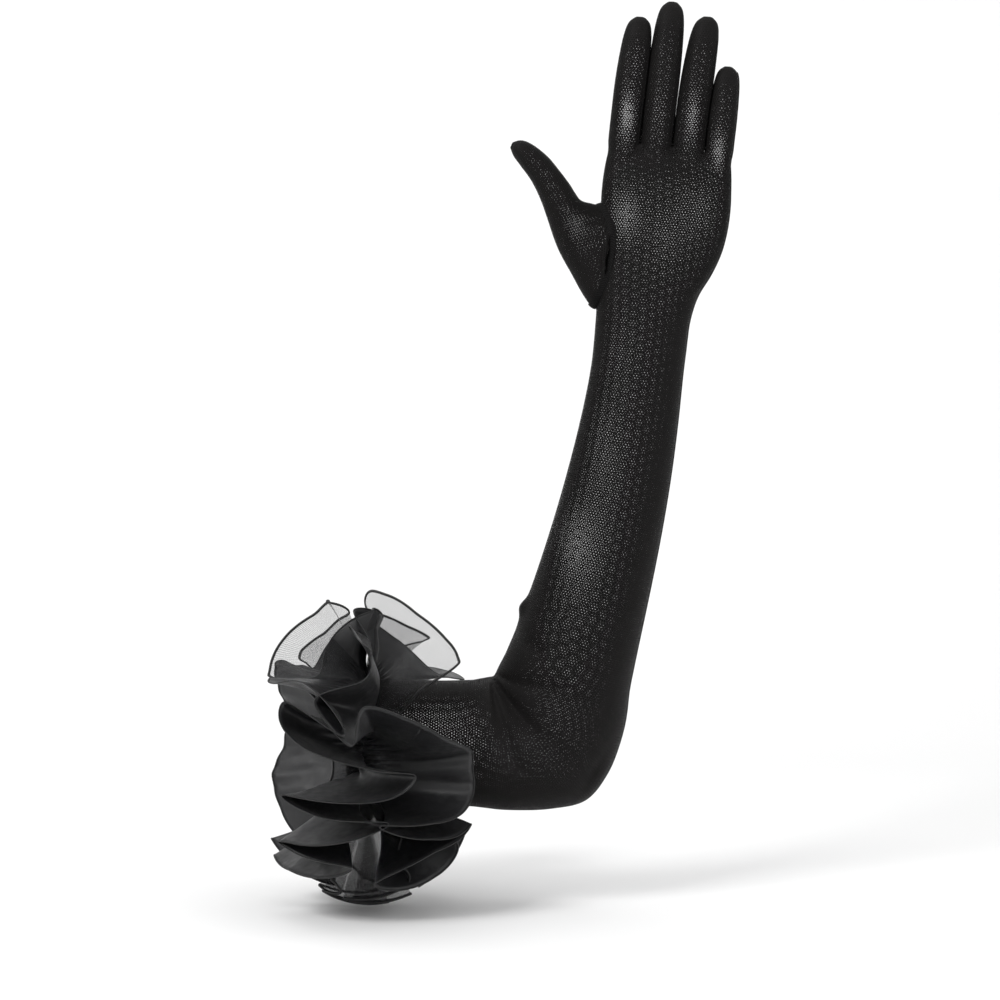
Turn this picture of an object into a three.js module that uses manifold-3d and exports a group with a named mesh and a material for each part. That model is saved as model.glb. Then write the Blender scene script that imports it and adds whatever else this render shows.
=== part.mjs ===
// Long net glove for a left hand with a gathered, two-layer ruffle at its top, as it is worn:
// upper arm level, elbow bent, forearm and open hand raised.
// Millimetres, +Z up. The origin is the centre of the top opening, +X runs down the upper
// arm and -Y is the side of the palm.
import * as THREE from 'three';
import { mergeVertices } from 'three/addons/utils/BufferGeometryUtils.js';
import Module from 'manifold-3d';

const wasm = await Module();
wasm.setup();

// Cloth and seams
const NET_WALL = 1;
const SEAM_WALL = 0.9;
const SEAM_WIDTH = 1.8;
const THUMB_SEAM_WIDTH = 6;
const CLEARANCE = 0.3;

// Sleeve
const ARM_WIDTH = 72;
const ARM_DEPTH = 69;
const UPPER_LENGTH = 80;
const ELBOW_TURN = 73;
const CREASE_RADIUS = 3;
const FOREARM_LENGTH = 207.5;
const WRIST_WIDTH = 52.7;
const WRIST_DEPTH = 38;
const HAND_LEAN = 5.7;

// Hand
const PALM_LENGTH = 100;
const PALM_DEPTH = 27;
const HEEL_OFFSET = 6;
const KNUCKLE_RISE = 9.6;
const FINGER_GAP = 0.9;
const INDEX_LENGTH = 72;
const INDEX_WIDTH = 17.3;
const MIDDLE_LENGTH = 82.4;
const MIDDLE_WIDTH = 17.5;
const RING_LENGTH = 75.9;
const RING_WIDTH = 17.7;
const LITTLE_LENGTH = 58.4;
const LITTLE_WIDTH = 15;
const THUMB_REACH = 60.7;
const THUMB_RISE = 57;
const THUMB_WIDTH = 58;
const THUMB_DEPTH = 25;
const THUMB_FORWARD = 14;

// Ruffle
const GATHER_FROM_HEM = 10;
const RUFFLE_WALL = 1;
const SEAM_FROM_GATHER = 12;
const SATIN_WIDTH = 126;
const SATIN_ROOT_FLARE = 24;
const ORGANZA_WIDTH = 120;
const ORGANZA_ROOT_FLARE = 62;
const HEM_SPRING = 1.7;

// Number of facets
const ARM_FACETS = 24;
const PALM_FACETS = 24;
const THUMB_FACETS = 14;
const FINGER_FACETS = 12;
const SEAM_STEPS = 9;
const COLUMNS_PER_FOLD = 2;
const RUFFLE_ROWS = 3;
const FLARE_STEPS = 6;
const UPPER_ROWS = 4;
const FOREARM_ROWS = 11;
const LEAN_STEPS = 200;
const BAND_CORNERS = 4;

const HAND_FORM_POWER = 2.5;
const ROUND_POWER = 2;
const LEAST_SLANT = 0.5;
const FULL_TURN = 360;
const X = new THREE.Vector3(1, 0, 0);
const Y = new THREE.Vector3(0, 1, 0);
const Z = new THREE.Vector3(0, 0, 1);

// Sleeve above the elbow. along is a share of UPPER_LENGTH, width of ARM_WIDTH.
const UPPER_FORM = [
  { along: 0, width: 0.935, centre: 0 },
  { along: 0.32, width: 0.98, centre: 0.007 },
  { along: 0.64, width: 0.98, centre: -0.004 },
  { along: 0.88, width: 0.995, centre: -0.006 },
];

// Fan of sections round the elbow's crease. turn is a share of ELBOW_TURN, width of ARM_WIDTH.
const ELBOW_FORM = [
  { turn: 0, width: 1.04, depth: 1 },
  { turn: 0.17, width: 1.08, depth: 1.01 },
  { turn: 0.34, width: 1.15, depth: 1.02 },
  { turn: 0.5, width: 1.225, depth: 1.02 },
  { turn: 0.66, width: 1.19, depth: 1.02 },
  { turn: 0.83, width: 1.13, depth: 1.01 },
  { turn: 1, width: 1.085, depth: 1 },
];

// Sleeve below the elbow. along is a share of FOREARM_LENGTH. width and depth go from 0, the
// wrist's, to 1, the upper arm's.
const FOREARM_FORM = [
  { along: 0, width: 1.33, depth: 1 },
  { along: 0.06, width: 1.08, depth: 1 },
  { along: 0.12, width: 0.95, depth: 0.92 },
  { along: 0.2, width: 0.81, depth: 0.82 },
  { along: 0.315, width: 0.65, depth: 0.66 },
  { along: 0.45, width: 0.487, depth: 0.5 },
  { along: 0.63, width: 0.28, depth: 0.32 },
  { along: 0.8, width: 0.083, depth: 0.15 },
  { along: 0.91, width: -0.015, depth: 0.04 },
  { along: 1, width: 0, depth: 0 },
];
const FOREARM_BEND_POWER = 1.6;

// Folds of the net at the elbow. station 0 and 1 are the start and end of the turn. at is the
// angle round the sleeve: 0 the outer side, 90 the back, 180 the crease, 270 the palm's side.
// depth is a share of CREASE_RADIUS, breadth of ARM_WIDTH.
const FOLDS = [
  { station: -0.14, at: 190, toStation: -0.16, toAt: 288, depth: 0.55, breadth: 0.06 },
  { station: 0.1, at: 190, toStation: 0.22, toAt: 285, depth: 0.75, breadth: 0.06 },
  { station: 0.4, at: 190, toStation: 0.62, toAt: 325, depth: 0.9, breadth: 0.08 },
  { station: 0.9, at: 192, toStation: 1.05, toAt: 262, depth: 0.6, breadth: 0.07 },
  { station: 1.5, at: 185, toStation: 1.42, toAt: 235, depth: 0.45, breadth: 0.05 },
  { station: 1.82, at: 176, toStation: 1.82, toAt: 186, depth: -0.9, breadth: 0.07 },
  { station: 0.12, at: 172, toStation: 0.2, toAt: 84, depth: 0.75, breadth: 0.06 },
  { station: 0.5, at: 170, toStation: 0.66, toAt: 44, depth: 0.9, breadth: 0.08 },
  { station: 0.92, at: 170, toStation: 1.1, toAt: 96, depth: 0.6, breadth: 0.07 },
];

// Palm and back. along is a share of PALM_LENGTH, width goes from 0, the wrist's, to 1, the
// knuckles', depth from 0, the palm's, to 1, the wrist's, centre from 0 to HEEL_OFFSET.
const PALM_FORM = [
  { along: 0, width: 0, depth: 1, centre: 0 },
  { along: 0.125, width: 0.05, depth: 0.82, centre: 0.02 },
  { along: 0.268, width: 0.276, depth: 0.55, centre: 0.21 },
  { along: 0.4, width: 0.635, depth: 0.32, centre: 0.74 },
  { along: 0.525, width: 0.923, depth: 0.14, centre: 1.05 },
  { along: 0.65, width: 1.116, depth: 0, centre: 1.12 },
  { along: 0.775, width: 1.21, depth: -0.12, centre: 1.07 },
  { along: 0.9, width: 1.16, depth: -0.32, centre: 1.02 },
  { along: 1, width: 1.04, depth: -0.66, centre: 1 },
];

// One finger above its crotch, as shares of its length, width and depth.
const FINGER_FORM = [
  { along: 0, width: 1, depth: 1 },
  { along: 0.25, width: 1.02, depth: 0.98 },
  { along: 0.5, width: 1.03, depth: 0.97 },
  { along: 0.74, width: 0.95, depth: 0.9 },
  { along: 0.88, width: 0.84, depth: 0.77 },
  { along: 0.96, width: 0.64, depth: 0.57 },
  { along: 1, width: 0.28, depth: 0.24 },
];
const FINGER_FLATNESS = 0.9;
const FINGER_BEND_POWER = 1.7;
const FINGER_ROOT = 5;

// Block that joins the index, middle and ring fingers below their crotches. up is a share of
// the way from the fingers' roots to the crotch, depth of PALM_DEPTH.
const KNUCKLE_FORM = [
  { up: 0, depth: 0.7 },
  { up: 0.34, depth: 0.66 },
  { up: 1, depth: 0.52 },
];

// Thumb from inside the palm to its tip. out is a share of THUMB_REACH, up of THUMB_RISE,
// width of THUMB_WIDTH, depth of THUMB_DEPTH, forward of THUMB_FORWARD, and face is the angle
// of each section's line from its lower to its upper edge.
const THUMB_FORM = [
  { out: 0, up: 0, width: 0.84, depth: 1, forward: 0, face: 90 },
  { out: 0.12, up: 0.02, width: 1, depth: 1, forward: 0.05, face: 92 },
  { out: 0.31, up: 0.19, width: 0.706, depth: 0.97, forward: 0.18, face: 86 },
  { out: 0.413, up: 0.328, width: 0.57, depth: 0.9, forward: 0.3, face: 78 },
  { out: 0.509, up: 0.504, width: 0.43, depth: 0.82, forward: 0.45, face: 68 },
  { out: 0.6, up: 0.654, width: 0.34, depth: 0.76, forward: 0.58, face: 62 },
  { out: 0.712, up: 0.802, width: 0.285, depth: 0.72, forward: 0.72, face: 60 },
  { out: 0.843, up: 0.919, width: 0.235, depth: 0.64, forward: 0.87, face: 60 },
  { out: 0.935, up: 0.978, width: 0.175, depth: 0.48, forward: 0.95, face: 66 },
  { out: 1, up: 1, width: 0.06, depth: 0.14, forward: 1, face: 74 },
];
const THUMB_ROOT = { across: -0.42, up: 0.43 };

// Seam round the set-in thumb, from the palm's lower edge to above the web. across is a
// share of the knuckles' width from the wrist's axis, up of PALM_LENGTH.
const THUMB_SEAM_LINE = [
  { across: -0.5, up: 0.08 },
  { across: -0.375, up: 0.2 },
  { across: -0.33, up: 0.32 },
  { across: -0.312, up: 0.46 },
  { across: -0.325, up: 0.58 },
  { across: -0.39, up: 0.68 },
  { across: -0.5, up: 0.76 },
];

// Ruffle round the sleeve. at is the angle round it: 0 the palm's side, 90 the top. reach is a
// share of each half strip's width, less where its hem curls. left and right are the angles
// between the sleeve and each half strip: left is the half that points to the shoulder and
// right the half that points to the hand.
const SATIN_FORM = [
  { at: 2, reach: 1, left: 62, right: 22 },
  { at: 10, reach: 1, left: 47, right: 44 },
  { at: 20, reach: 1, left: 43, right: 72 },
  { at: 30, reach: 1, left: 44, right: 56 },
  { at: 42, reach: 0.98, left: 50, right: 30 },
  { at: 56, reach: 0.95, left: 32, right: 18 },
  { at: 70, reach: 0.9, left: 18, right: 12 },
  { at: 83, reach: 0.84, left: 12, right: 10 },
  { at: 96, reach: 0.82, left: 10, right: 9 },
  { at: 109, reach: 0.87, left: 9, right: 9 },
  { at: 122, reach: 0.96, left: 9, right: 9 },
  { at: 136, reach: 1.04, left: 10, right: 10 },
  { at: 152, reach: 1, left: 26, right: 22 },
  { at: 170, reach: 0.95, left: 60, right: 52 },
  { at: 188, reach: 1, left: 34, right: 26 },
  { at: 206, reach: 1, left: 16, right: 16 },
  { at: 224, reach: 0.97, left: 28, right: 46 },
  { at: 240, reach: 0.94, left: 58, right: 34 },
  { at: 255, reach: 0.94, left: 36, right: 18 },
  { at: 270, reach: 0.94, left: 18, right: 24 },
  { at: 285, reach: 0.92, left: 30, right: 20 },
  { at: 299, reach: 0.95, left: 46, right: 32 },
  { at: 312, reach: 1, left: 34, right: 52 },
  { at: 325, reach: 1, left: 52, right: 20 },
  { at: 336, reach: 0.98, left: 84, right: 12 },
  { at: 346, reach: 1, left: 52, right: 13 },
  { at: 354, reach: 0.98, left: 88, right: 15 },
];
const ORGANZA_FORM = [
  { at: 2, reach: 0.62, left: 88, right: 84 },
  { at: 10, reach: 0.62, left: 84, right: 88 },
  { at: 20, reach: 0.68, left: 60, right: 110 },
  { at: 30, reach: 0.84, left: 80, right: 90 },
  { at: 42, reach: 0.98, left: 88, right: 77 },
  { at: 56, reach: 0.95, left: 80, right: 90 },
  { at: 70, reach: 0.9, left: 72, right: 93 },
  { at: 83, reach: 0.84, left: 66, right: 92 },
  { at: 96, reach: 0.82, left: 61, right: 90 },
  { at: 109, reach: 0.87, left: 46, right: 68 },
  { at: 122, reach: 0.96, left: 30, right: 42 },
  { at: 136, reach: 1.04, left: 22, right: 27 },
  { at: 152, reach: 1, left: 44, right: 46 },
  { at: 170, reach: 0.95, left: 78, right: 80 },
  { at: 188, reach: 1, left: 58, right: 56 },
  { at: 206, reach: 1, left: 32, right: 30 },
  { at: 224, reach: 0.97, left: 54, right: 68 },
  { at: 240, reach: 0.94, left: 82, right: 66 },
  { at: 255, reach: 0.94, left: 68, right: 46 },
  { at: 270, reach: 0.94, left: 44, right: 70 },
  { at: 285, reach: 0.92, left: 58, right: 84 },
  { at: 299, reach: 0.92, left: 78, right: 62 },
  { at: 312, reach: 0.82, left: 62, right: 78 },
  { at: 325, reach: 0.72, left: 80, right: 74 },
  { at: 336, reach: 0.66, left: 98, right: 66 },
  { at: 346, reach: 0.62, left: 92, right: 70 },
  { at: 354, reach: 0.62, left: 98, right: 70 },
];

const radians = THREE.MathUtils.degToRad;
const lerp = THREE.MathUtils.lerp;

const netMaterial = new THREE.MeshStandardMaterial({ color: 0x1b1817, roughness: 0.75 });
const seamMaterial = new THREE.MeshStandardMaterial({ color: 0x0b0a0a, roughness: 0.8 });
const satinMaterial = new THREE.MeshStandardMaterial({ color: 0x0c0c0e, roughness: 0.32 });
const organzaMaterial = new THREE.MeshStandardMaterial({ color: 0x2b2b2d, roughness: 0.6 });

// Fingers from index to little, each with the height of the crotch that it is measured from.
const FINGERS = [
  { name: 'index_finger', length: INDEX_LENGTH, width: INDEX_WIDTH, rise: KNUCKLE_RISE, sway: 0.13 },
  { name: 'middle_finger', length: MIDDLE_LENGTH, width: MIDDLE_WIDTH, rise: KNUCKLE_RISE, sway: 0.08 },
  { name: 'ring_finger', length: RING_LENGTH, width: RING_WIDTH, rise: KNUCKLE_RISE, sway: 0.21 },
  { name: 'little_finger', length: LITTLE_LENGTH, width: LITTLE_WIDTH, rise: 0, sway: 0.06 },
];
const KNUCKLE_WIDTH = FINGERS.reduce((sum, finger) => sum + finger.width, 3 * FINGER_GAP);
placeFingers();

function placeFingers() {
  let edge = HEEL_OFFSET - KNUCKLE_WIDTH / 2;
  for (const finger of FINGERS) {
    finger.foot = edge + finger.width / 2;
    finger.crotch = PALM_LENGTH + finger.rise;
    edge += finger.width + FINGER_GAP;
  }
}

// A ring of a loft: an oval, or the four corners of a band, in the plane of across and deep.
function ringPoint(section, angle, grow) {
  const cosine = Math.cos(angle + (section.square ? Math.PI / 4 : 0));
  const sine = Math.sin(angle + (section.square ? Math.PI / 4 : 0));
  const reach = section.square ? 0 : 2 / (section.power ?? ROUND_POWER);
  const relief = section.relief ? section.relief(angle) : 0;
  const halfWidth = section.halfWidth + grow / (section.slant ?? 1) + relief;
  const halfDepth = section.halfDepth + grow + relief;
  return section.centre
    .clone()
    .addScaledVector(section.across, halfWidth * Math.sign(cosine) * Math.abs(cosine) ** reach)
    .addScaledVector(section.deep ?? Y, halfDepth * Math.sign(sine) * Math.abs(sine) ** reach);
}

// Closed body through a row of rings, with a fan over each end.
function loft(sections, facets, grow) {
  const positions = [];
  const triangles = [];
  for (const section of sections) {
    for (let step = 0; step < facets; step += 1) {
      positions.push(...ringPoint(section, (2 * Math.PI * step) / facets, grow));
    }
  }
  const last = sections.length - 1;
  const startCentre = positions.length / 3;
  positions.push(...sections[0].centre, ...sections[last].centre);
  for (let step = 0; step < facets; step += 1) {
    const next = (step + 1) % facets;
    for (let ring = 0; ring < last; ring += 1) {
      const low = ring * facets;
      const high = low + facets;
      triangles.push(low + step, low + next, high + next);
      triangles.push(low + step, high + next, high + step);
    }
    triangles.push(startCentre, next, step);
    triangles.push(startCentre + 1, last * facets + step, last * facets + next);
  }
  return geometryFrom(positions, triangles);
}

function geometryFrom(positions, triangles) {
  const geometry = new THREE.BufferGeometry();
  geometry.setAttribute('position', new THREE.Float32BufferAttribute(positions, 3));
  geometry.setIndex(triangles);
  return geometry;
}

function toSolid(geometry) {
  geometry.deleteAttribute('normal');
  geometry.deleteAttribute('uv');
  const merged = mergeVertices(geometry, 1e-4);
  const mesh = new wasm.Mesh({
    numProp: 3,
    vertProperties: new Float32Array(merged.attributes.position.array),
    triVerts: new Uint32Array(merged.index.array),
  });
  return new wasm.Manifold(mesh);
}

function toGeometry(solid) {
  const mesh = solid.getMesh();
  return geometryFrom(Array.from(mesh.vertProperties), Array.from(mesh.triVerts));
}

function joined(solids) {
  return solids.reduce((whole, solid) => whole.add(solid));
}

function named(name, geometry, material) {
  geometry.computeVertexNormals();
  const mesh = new THREE.Mesh(geometry, material.clone());
  mesh.name = name;
  return mesh;
}

// A prism over an outline in X and Z, between two places along Y.
function prism(outline, fromY, toY) {
  const shape = new THREE.Shape(outline.map(([x, z]) => new THREE.Vector2(x, z)));
  const geometry = new THREE.ExtrudeGeometry(shape, { depth: toY - fromY, bevelEnabled: false });
  geometry.rotateX(Math.PI / 2);
  geometry.translate(0, toY, 0);
  return toSolid(geometry);
}

// Smooth value of one column of a table, whose rows stand at increasing places.
function tableValue(rows, place, column, at) {
  const last = rows.length - 1;
  let index = rows.findIndex((row) => row[place] >= at);
  index = THREE.MathUtils.clamp(index < 0 ? last : index, 1, last);
  const [a, b, c, d] = [-2, -1, 0, 1].map((step) => rows[THREE.MathUtils.clamp(index + step, 0, last)]);
  const span = c[place] - b[place];
  const share = (at - b[place]) / span;
  const slopeB = ((c[column] - a[column]) / (c[place] - a[place])) * span;
  const slopeC = ((d[column] - b[column]) / (d[place] - b[place])) * span;
  const square = share * share;
  const cube = square * share;
  return (
    (2 * cube - 3 * square + 1) * b[column] +
    (cube - 2 * square + share) * slopeB +
    (3 * square - 2 * cube) * c[column] +
    (cube - square) * slopeC
  );
}

// Place and direction of the sleeve's sections, from the top opening to the wrist.
const ELBOW_PIVOT = new THREE.Vector3(
  UPPER_LENGTH,
  0,
  (ELBOW_FORM[0].width * ARM_WIDTH) / 2 + CREASE_RADIUS,
);
const ELBOW_ARC = radians(ELBOW_TURN) * (ARM_WIDTH / 2 + CREASE_RADIUS);

function armSections() {
  return [...upperSections(), ...elbowSections(), ...forearmSections()].map(withFolds);
}

function upperSections() {
  const sections = [];
  const end = UPPER_FORM[UPPER_FORM.length - 1].along;
  for (let row = 0; row < UPPER_ROWS; row += 1) {
    const along = (end * row) / (UPPER_ROWS - 1);
    const rise = tableValue(UPPER_FORM, 'along', 'centre', along) * ARM_WIDTH;
    sections.push({
      centre: new THREE.Vector3(along * UPPER_LENGTH, 0, rise),
      across: Z.clone().negate(),
      halfWidth: (tableValue(UPPER_FORM, 'along', 'width', along) * ARM_WIDTH) / 2,
      halfDepth: ARM_DEPTH / 2,
      station: ((along - 1) * UPPER_LENGTH) / ELBOW_ARC,
    });
  }
  return sections;
}

function elbowSections() {
  return ELBOW_FORM.map((row) => {
    const turned = radians(ELBOW_TURN * row.turn);
    const across = new THREE.Vector3(Math.sin(turned), 0, -Math.cos(turned));
    const halfWidth = (row.width * ARM_WIDTH) / 2;
    return {
      centre: ELBOW_PIVOT.clone().addScaledVector(across, CREASE_RADIUS + halfWidth),
      across,
      halfWidth,
      halfDepth: (row.depth * ARM_DEPTH) / 2,
      station: row.turn,
    };
  });
}

function forearmLean(along) {
  const elbowLean = 90 - ELBOW_TURN;
  return radians(lerp(elbowLean, HAND_LEAN, along ** FOREARM_BEND_POWER));
}

function forearmSections() {
  const sections = [];
  const elbow = elbowSections();
  const centre = elbow[elbow.length - 1].centre.clone();
  const step = FOREARM_LENGTH / LEAN_STEPS;
  let reached = 0;
  for (let row = 1; row <= FOREARM_ROWS; row += 1) {
    const along = row / FOREARM_ROWS;
    for (; reached < Math.round(along * LEAN_STEPS); reached += 1) {
      const lean = forearmLean((reached + 0.5) / LEAN_STEPS);
      centre.addScaledVector(X, Math.sin(lean) * step);
      centre.addScaledVector(Z, Math.cos(lean) * step);
    }
    const lean = forearmLean(along);
    const width = lerp(WRIST_WIDTH, ARM_WIDTH, tableValue(FOREARM_FORM, 'along', 'width', along));
    const depth = lerp(WRIST_DEPTH, ARM_DEPTH, tableValue(FOREARM_FORM, 'along', 'depth', along));
    sections.push({
      centre: centre.clone(),
      across: new THREE.Vector3(Math.cos(lean), 0, -Math.sin(lean)),
      halfWidth: width / 2,
      halfDepth: depth / 2,
      station: 1 + (along * FOREARM_LENGTH) / ELBOW_ARC,
    });
  }
  return sections;
}

function withFolds(section) {
  return { ...section, relief: (angle) => foldRelief(section.station, THREE.MathUtils.radToDeg(angle)) };
}

// Height of the folds at one place, from its distance to each fold's line.
function foldRelief(station, at) {
  const girth = radians(1) * (ARM_WIDTH / 2);
  let relief = 0;
  for (const fold of FOLDS) {
    const run = (fold.toStation - fold.station) * ELBOW_ARC;
    const round = (fold.toAt - fold.at) * girth;
    const ahead = (station - fold.station) * ELBOW_ARC;
    const aside = (at - fold.at) * girth;
    const length = Math.hypot(run, round);
    const share = THREE.MathUtils.clamp((ahead * run + aside * round) / length ** 2, 0, 1);
    const away = Math.hypot(ahead - share * run, aside - share * round);
    const breadth = fold.breadth * ARM_WIDTH;
    relief -= fold.depth * CREASE_RADIUS * Math.exp(-((away / breadth) ** 2));
  }
  return relief;
}

// The same rings carried past an open end, for cutting the hollow through it.
function pastStart(sections, distance) {
  const first = sections[0];
  const direction = (first.deep ?? Y).clone().cross(first.across).negate();
  return [{ ...first, centre: first.centre.clone().addScaledVector(direction, -distance) }, ...sections];
}

function pastEnd(sections, distance) {
  const end = sections[sections.length - 1];
  const direction = (end.deep ?? Y).clone().cross(end.across).negate();
  return [...sections, { ...end, centre: end.centre.clone().addScaledVector(direction, distance) }];
}

function sleeve(sections) {
  const outside = toSolid(loft(sections, ARM_FACETS, 0));
  const throughBoth = pastEnd(pastStart(sections, NET_WALL), NET_WALL);
  return toGeometry(outside.subtract(toSolid(loft(throughBoth, ARM_FACETS, -NET_WALL))));
}

// Solids of the hand in its own frame, standing on the wrist. grow moves their surface out.
function palmSections(grow) {
  return PALM_FORM.map((row) => ({
    centre: new THREE.Vector3(row.centre * HEEL_OFFSET, 0, row.along * (PALM_LENGTH + grow)),
    across: X,
    halfWidth: lerp(WRIST_WIDTH, KNUCKLE_WIDTH, row.width) / 2,
    halfDepth: lerp(PALM_DEPTH, WRIST_DEPTH, row.depth) / 2,
    power: lerp(HAND_FORM_POWER, ROUND_POWER, Math.max(0, row.depth)),
  }));
}

// How far a finger has leant aside at one height.
function leanAt(finger, up) {
  const share = THREE.MathUtils.clamp((up - finger.crotch) / finger.length, 0, 1);
  return finger.sway * finger.width * share ** FINGER_BEND_POWER;
}

function fingerSections(finger, grow) {
  const foot = new THREE.Vector3(finger.foot, 0, PALM_LENGTH - FINGER_ROOT);
  const ring = (centre, row) => ({
    centre,
    across: X,
    halfWidth: (row.width * finger.width) / 2,
    halfDepth: (row.depth * finger.width * FINGER_FLATNESS) / 2,
  });
  const above = FINGER_FORM.map((row) => {
    const up = finger.crotch + row.along * (finger.length + grow);
    return ring(new THREE.Vector3(finger.foot + leanAt(finger, up), 0, up), row);
  });
  return [ring(foot, FINGER_FORM[0]), ...above];
}

function knuckleSections(grow) {
  const [index, , ring] = FINGERS;
  const bottom = PALM_LENGTH - FINGER_ROOT;
  const top = PALM_LENGTH + KNUCKLE_RISE + grow;
  return KNUCKLE_FORM.map((row) => ({
    centre: new THREE.Vector3((ring.foot + index.foot) / 2, 0, lerp(bottom, top, row.up)),
    across: X,
    halfWidth: (ring.foot - index.foot) / 2,
    halfDepth: (row.depth * PALM_DEPTH) / 2,
    power: HAND_FORM_POWER,
  }));
}

function thumbSections() {
  const rootX = THUMB_ROOT.across * KNUCKLE_WIDTH + HEEL_OFFSET;
  const rootZ = THUMB_ROOT.up * PALM_LENGTH;
  const sections = THUMB_FORM.map((row) => {
    const face = radians(row.face);
    return {
      centre: new THREE.Vector3(
        rootX - row.out * THUMB_REACH,
        -row.forward * THUMB_FORWARD,
        rootZ + row.up * THUMB_RISE,
      ),
      across: new THREE.Vector3(Math.cos(face), 0, Math.sin(face)),
      halfWidth: (row.width * THUMB_WIDTH) / 2,
      halfDepth: (row.depth * THUMB_DEPTH) / 2,
    };
  });
  return sections.map((section, index) => ({ ...section, slant: slantOf(sections, index) }));
}

// Cosine between a section's normal and the way that the loft runs there.
function slantOf(sections, index) {
  const before = sections[Math.max(0, index - 1)].centre;
  const after = sections[Math.min(sections.length - 1, index + 1)].centre;
  const way = after.clone().sub(before).normalize();
  const normal = sections[index].across.clone().cross(Y);
  return Math.max(LEAST_SLANT, Math.abs(way.dot(normal)));
}

function handSolid(grow) {
  const palm = palmSections(grow);
  const open = grow < 0 ? pastStart(palm, NET_WALL) : palm;
  return joined([
    toSolid(loft(open, PALM_FACETS, grow)),
    toSolid(loft(knuckleSections(grow), PALM_FACETS, grow)),
    toSolid(loft(thumbSections(), THUMB_FACETS, grow)),
    ...FINGERS.map((finger) => toSolid(loft(fingerSections(finger, grow), FINGER_FACETS, grow))),
  ]);
}

// Outlines in the hand's X and Z that part it into its pieces.
const FAR = 4 * PALM_LENGTH;
const HAND_HALF_DEPTH = WRIST_DEPTH + THUMB_FORWARD;

function seamPoints(offset) {
  const curve = new THREE.SplineCurve(
    THUMB_SEAM_LINE.map((row) => new THREE.Vector2(row.across * KNUCKLE_WIDTH, row.up * PALM_LENGTH)),
  );
  const points = [];
  for (let step = 0; step <= SEAM_STEPS; step += 1) {
    const point = curve.getPoint(step / SEAM_STEPS);
    const way = curve.getTangent(step / SEAM_STEPS);
    points.push([point.x + way.y * offset, point.y - way.x * offset]);
  }
  return points;
}

// Everything on the thumb's side of its seam line, moved by offset towards the palm.
function thumbZone(offset) {
  const seam = seamPoints(offset);
  const [bottomX, bottomZ] = seam[0];
  const [topX] = seam[seam.length - 1];
  return prism(
    [...seam, [topX, FAR], [-FAR, FAR], [-FAR, bottomZ], [bottomX - CLEARANCE, bottomZ]],
    -HAND_HALF_DEPTH,
    HAND_HALF_DEPTH,
  );
}

// Where one side of a finger stands at one height.
function fingerEdge(finger, up, side) {
  const share = THREE.MathUtils.clamp((up - finger.crotch) / finger.length, 0, 1);
  const width = tableValue(FINGER_FORM, 'along', 'width', share) * finger.width;
  return finger.foot + leanAt(finger, up) + (side * width) / 2;
}

// The middle of the gap beside one finger, from its crotch up.
function gapLine(index, bottom) {
  const [left, right] = [FINGERS[index], FINGERS[index + 1]];
  const top = Math.min(left.crotch + left.length, right.crotch + right.length);
  const middle = (up) => (fingerEdge(left, up, 1) + fingerEdge(right, up, -1)) / 2;
  const line = Array.from({ length: SEAM_STEPS + 1 }, (unused, step) => {
    const up = lerp(bottom, top, step / SEAM_STEPS);
    return [middle(up), up];
  });
  return [...line, [middle(top), FAR]];
}

// Everything above one finger's crotch, between the middles of the gaps beside it.
function fingerZone(index, offset) {
  const bottom = FINGERS[index].crotch + CLEARANCE - offset;
  const { foot, width } = FINGERS[index];
  const edge = (side) => [[foot + side * 2 * width, bottom], [foot + side * 2 * width, FAR]];
  const left = index === 0 ? edge(-1) : gapLine(index - 1, bottom);
  const right = index === FINGERS.length - 1 ? edge(1) : gapLine(index, bottom);
  return prism([...right, ...left.reverse()], -HAND_HALF_DEPTH, HAND_HALF_DEPTH);
}

const FOURCHETTE_REACH = 0.84;
const FOURCHETTE_HALF_DEPTH = 0.24;
const FOURCHETTE_DROP = 2.5;

// The middle of the depth between the axes of two neighbouring fingers.
function fourchetteZone(index, offset) {
  const [left, right] = [FINGERS[index], FINGERS[index + 1]];
  const shorter = Math.min(left.crotch + left.length, right.crotch + right.length);
  const crotch = Math.min(left.crotch, right.crotch);
  const top = lerp(crotch, shorter, FOURCHETTE_REACH) + offset;
  const bottom = crotch - FOURCHETTE_DROP - offset;
  const halfDepth = Math.min(left.width, right.width) * FOURCHETTE_HALF_DEPTH + offset;
  return prism(
    [
      [left.foot - offset, bottom],
      [right.foot + offset, bottom],
      [right.foot + offset + leanAt(right, top), top],
      [left.foot - offset + leanAt(left, top), top],
    ],
    -halfDepth,
    halfDepth,
  );
}

function handPieces() {
  const shell = handSolid(0).subtract(handSolid(-NET_WALL));
  const thumb = shell.intersect(thumbZone(0));
  const pairs = [0, 1, 2];
  const slots = joined(pairs.map((pair) => fourchetteZone(pair, CLEARANCE)));
  const fingerZones = FINGERS.map((finger, index) => fingerZone(index, CLEARANCE));
  const hand = shell.subtract(thumbZone(CLEARANCE)).subtract(joined(fingerZones)).subtract(slots);
  const meshes = [
    named('hand', toGeometry(hand), netMaterial),
    named('thumb', toGeometry(thumb), netMaterial),
  ];
  FINGERS.forEach((finger, index) => {
    const stall = shell.intersect(fingerZone(index, 0)).subtract(slots);
    meshes.push(named(finger.name, toGeometry(stall), netMaterial));
  });
  for (const pair of pairs) {
    const strip = shell.intersect(fourchetteZone(pair, 0));
    const [left, right] = [FINGERS[pair], FINGERS[pair + 1]].map((finger) => finger.name.split('_')[0]);
    meshes.push(named(`fourchette_${left}_${right}`, toGeometry(strip), netMaterial));
  }
  return meshes;
}

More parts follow.
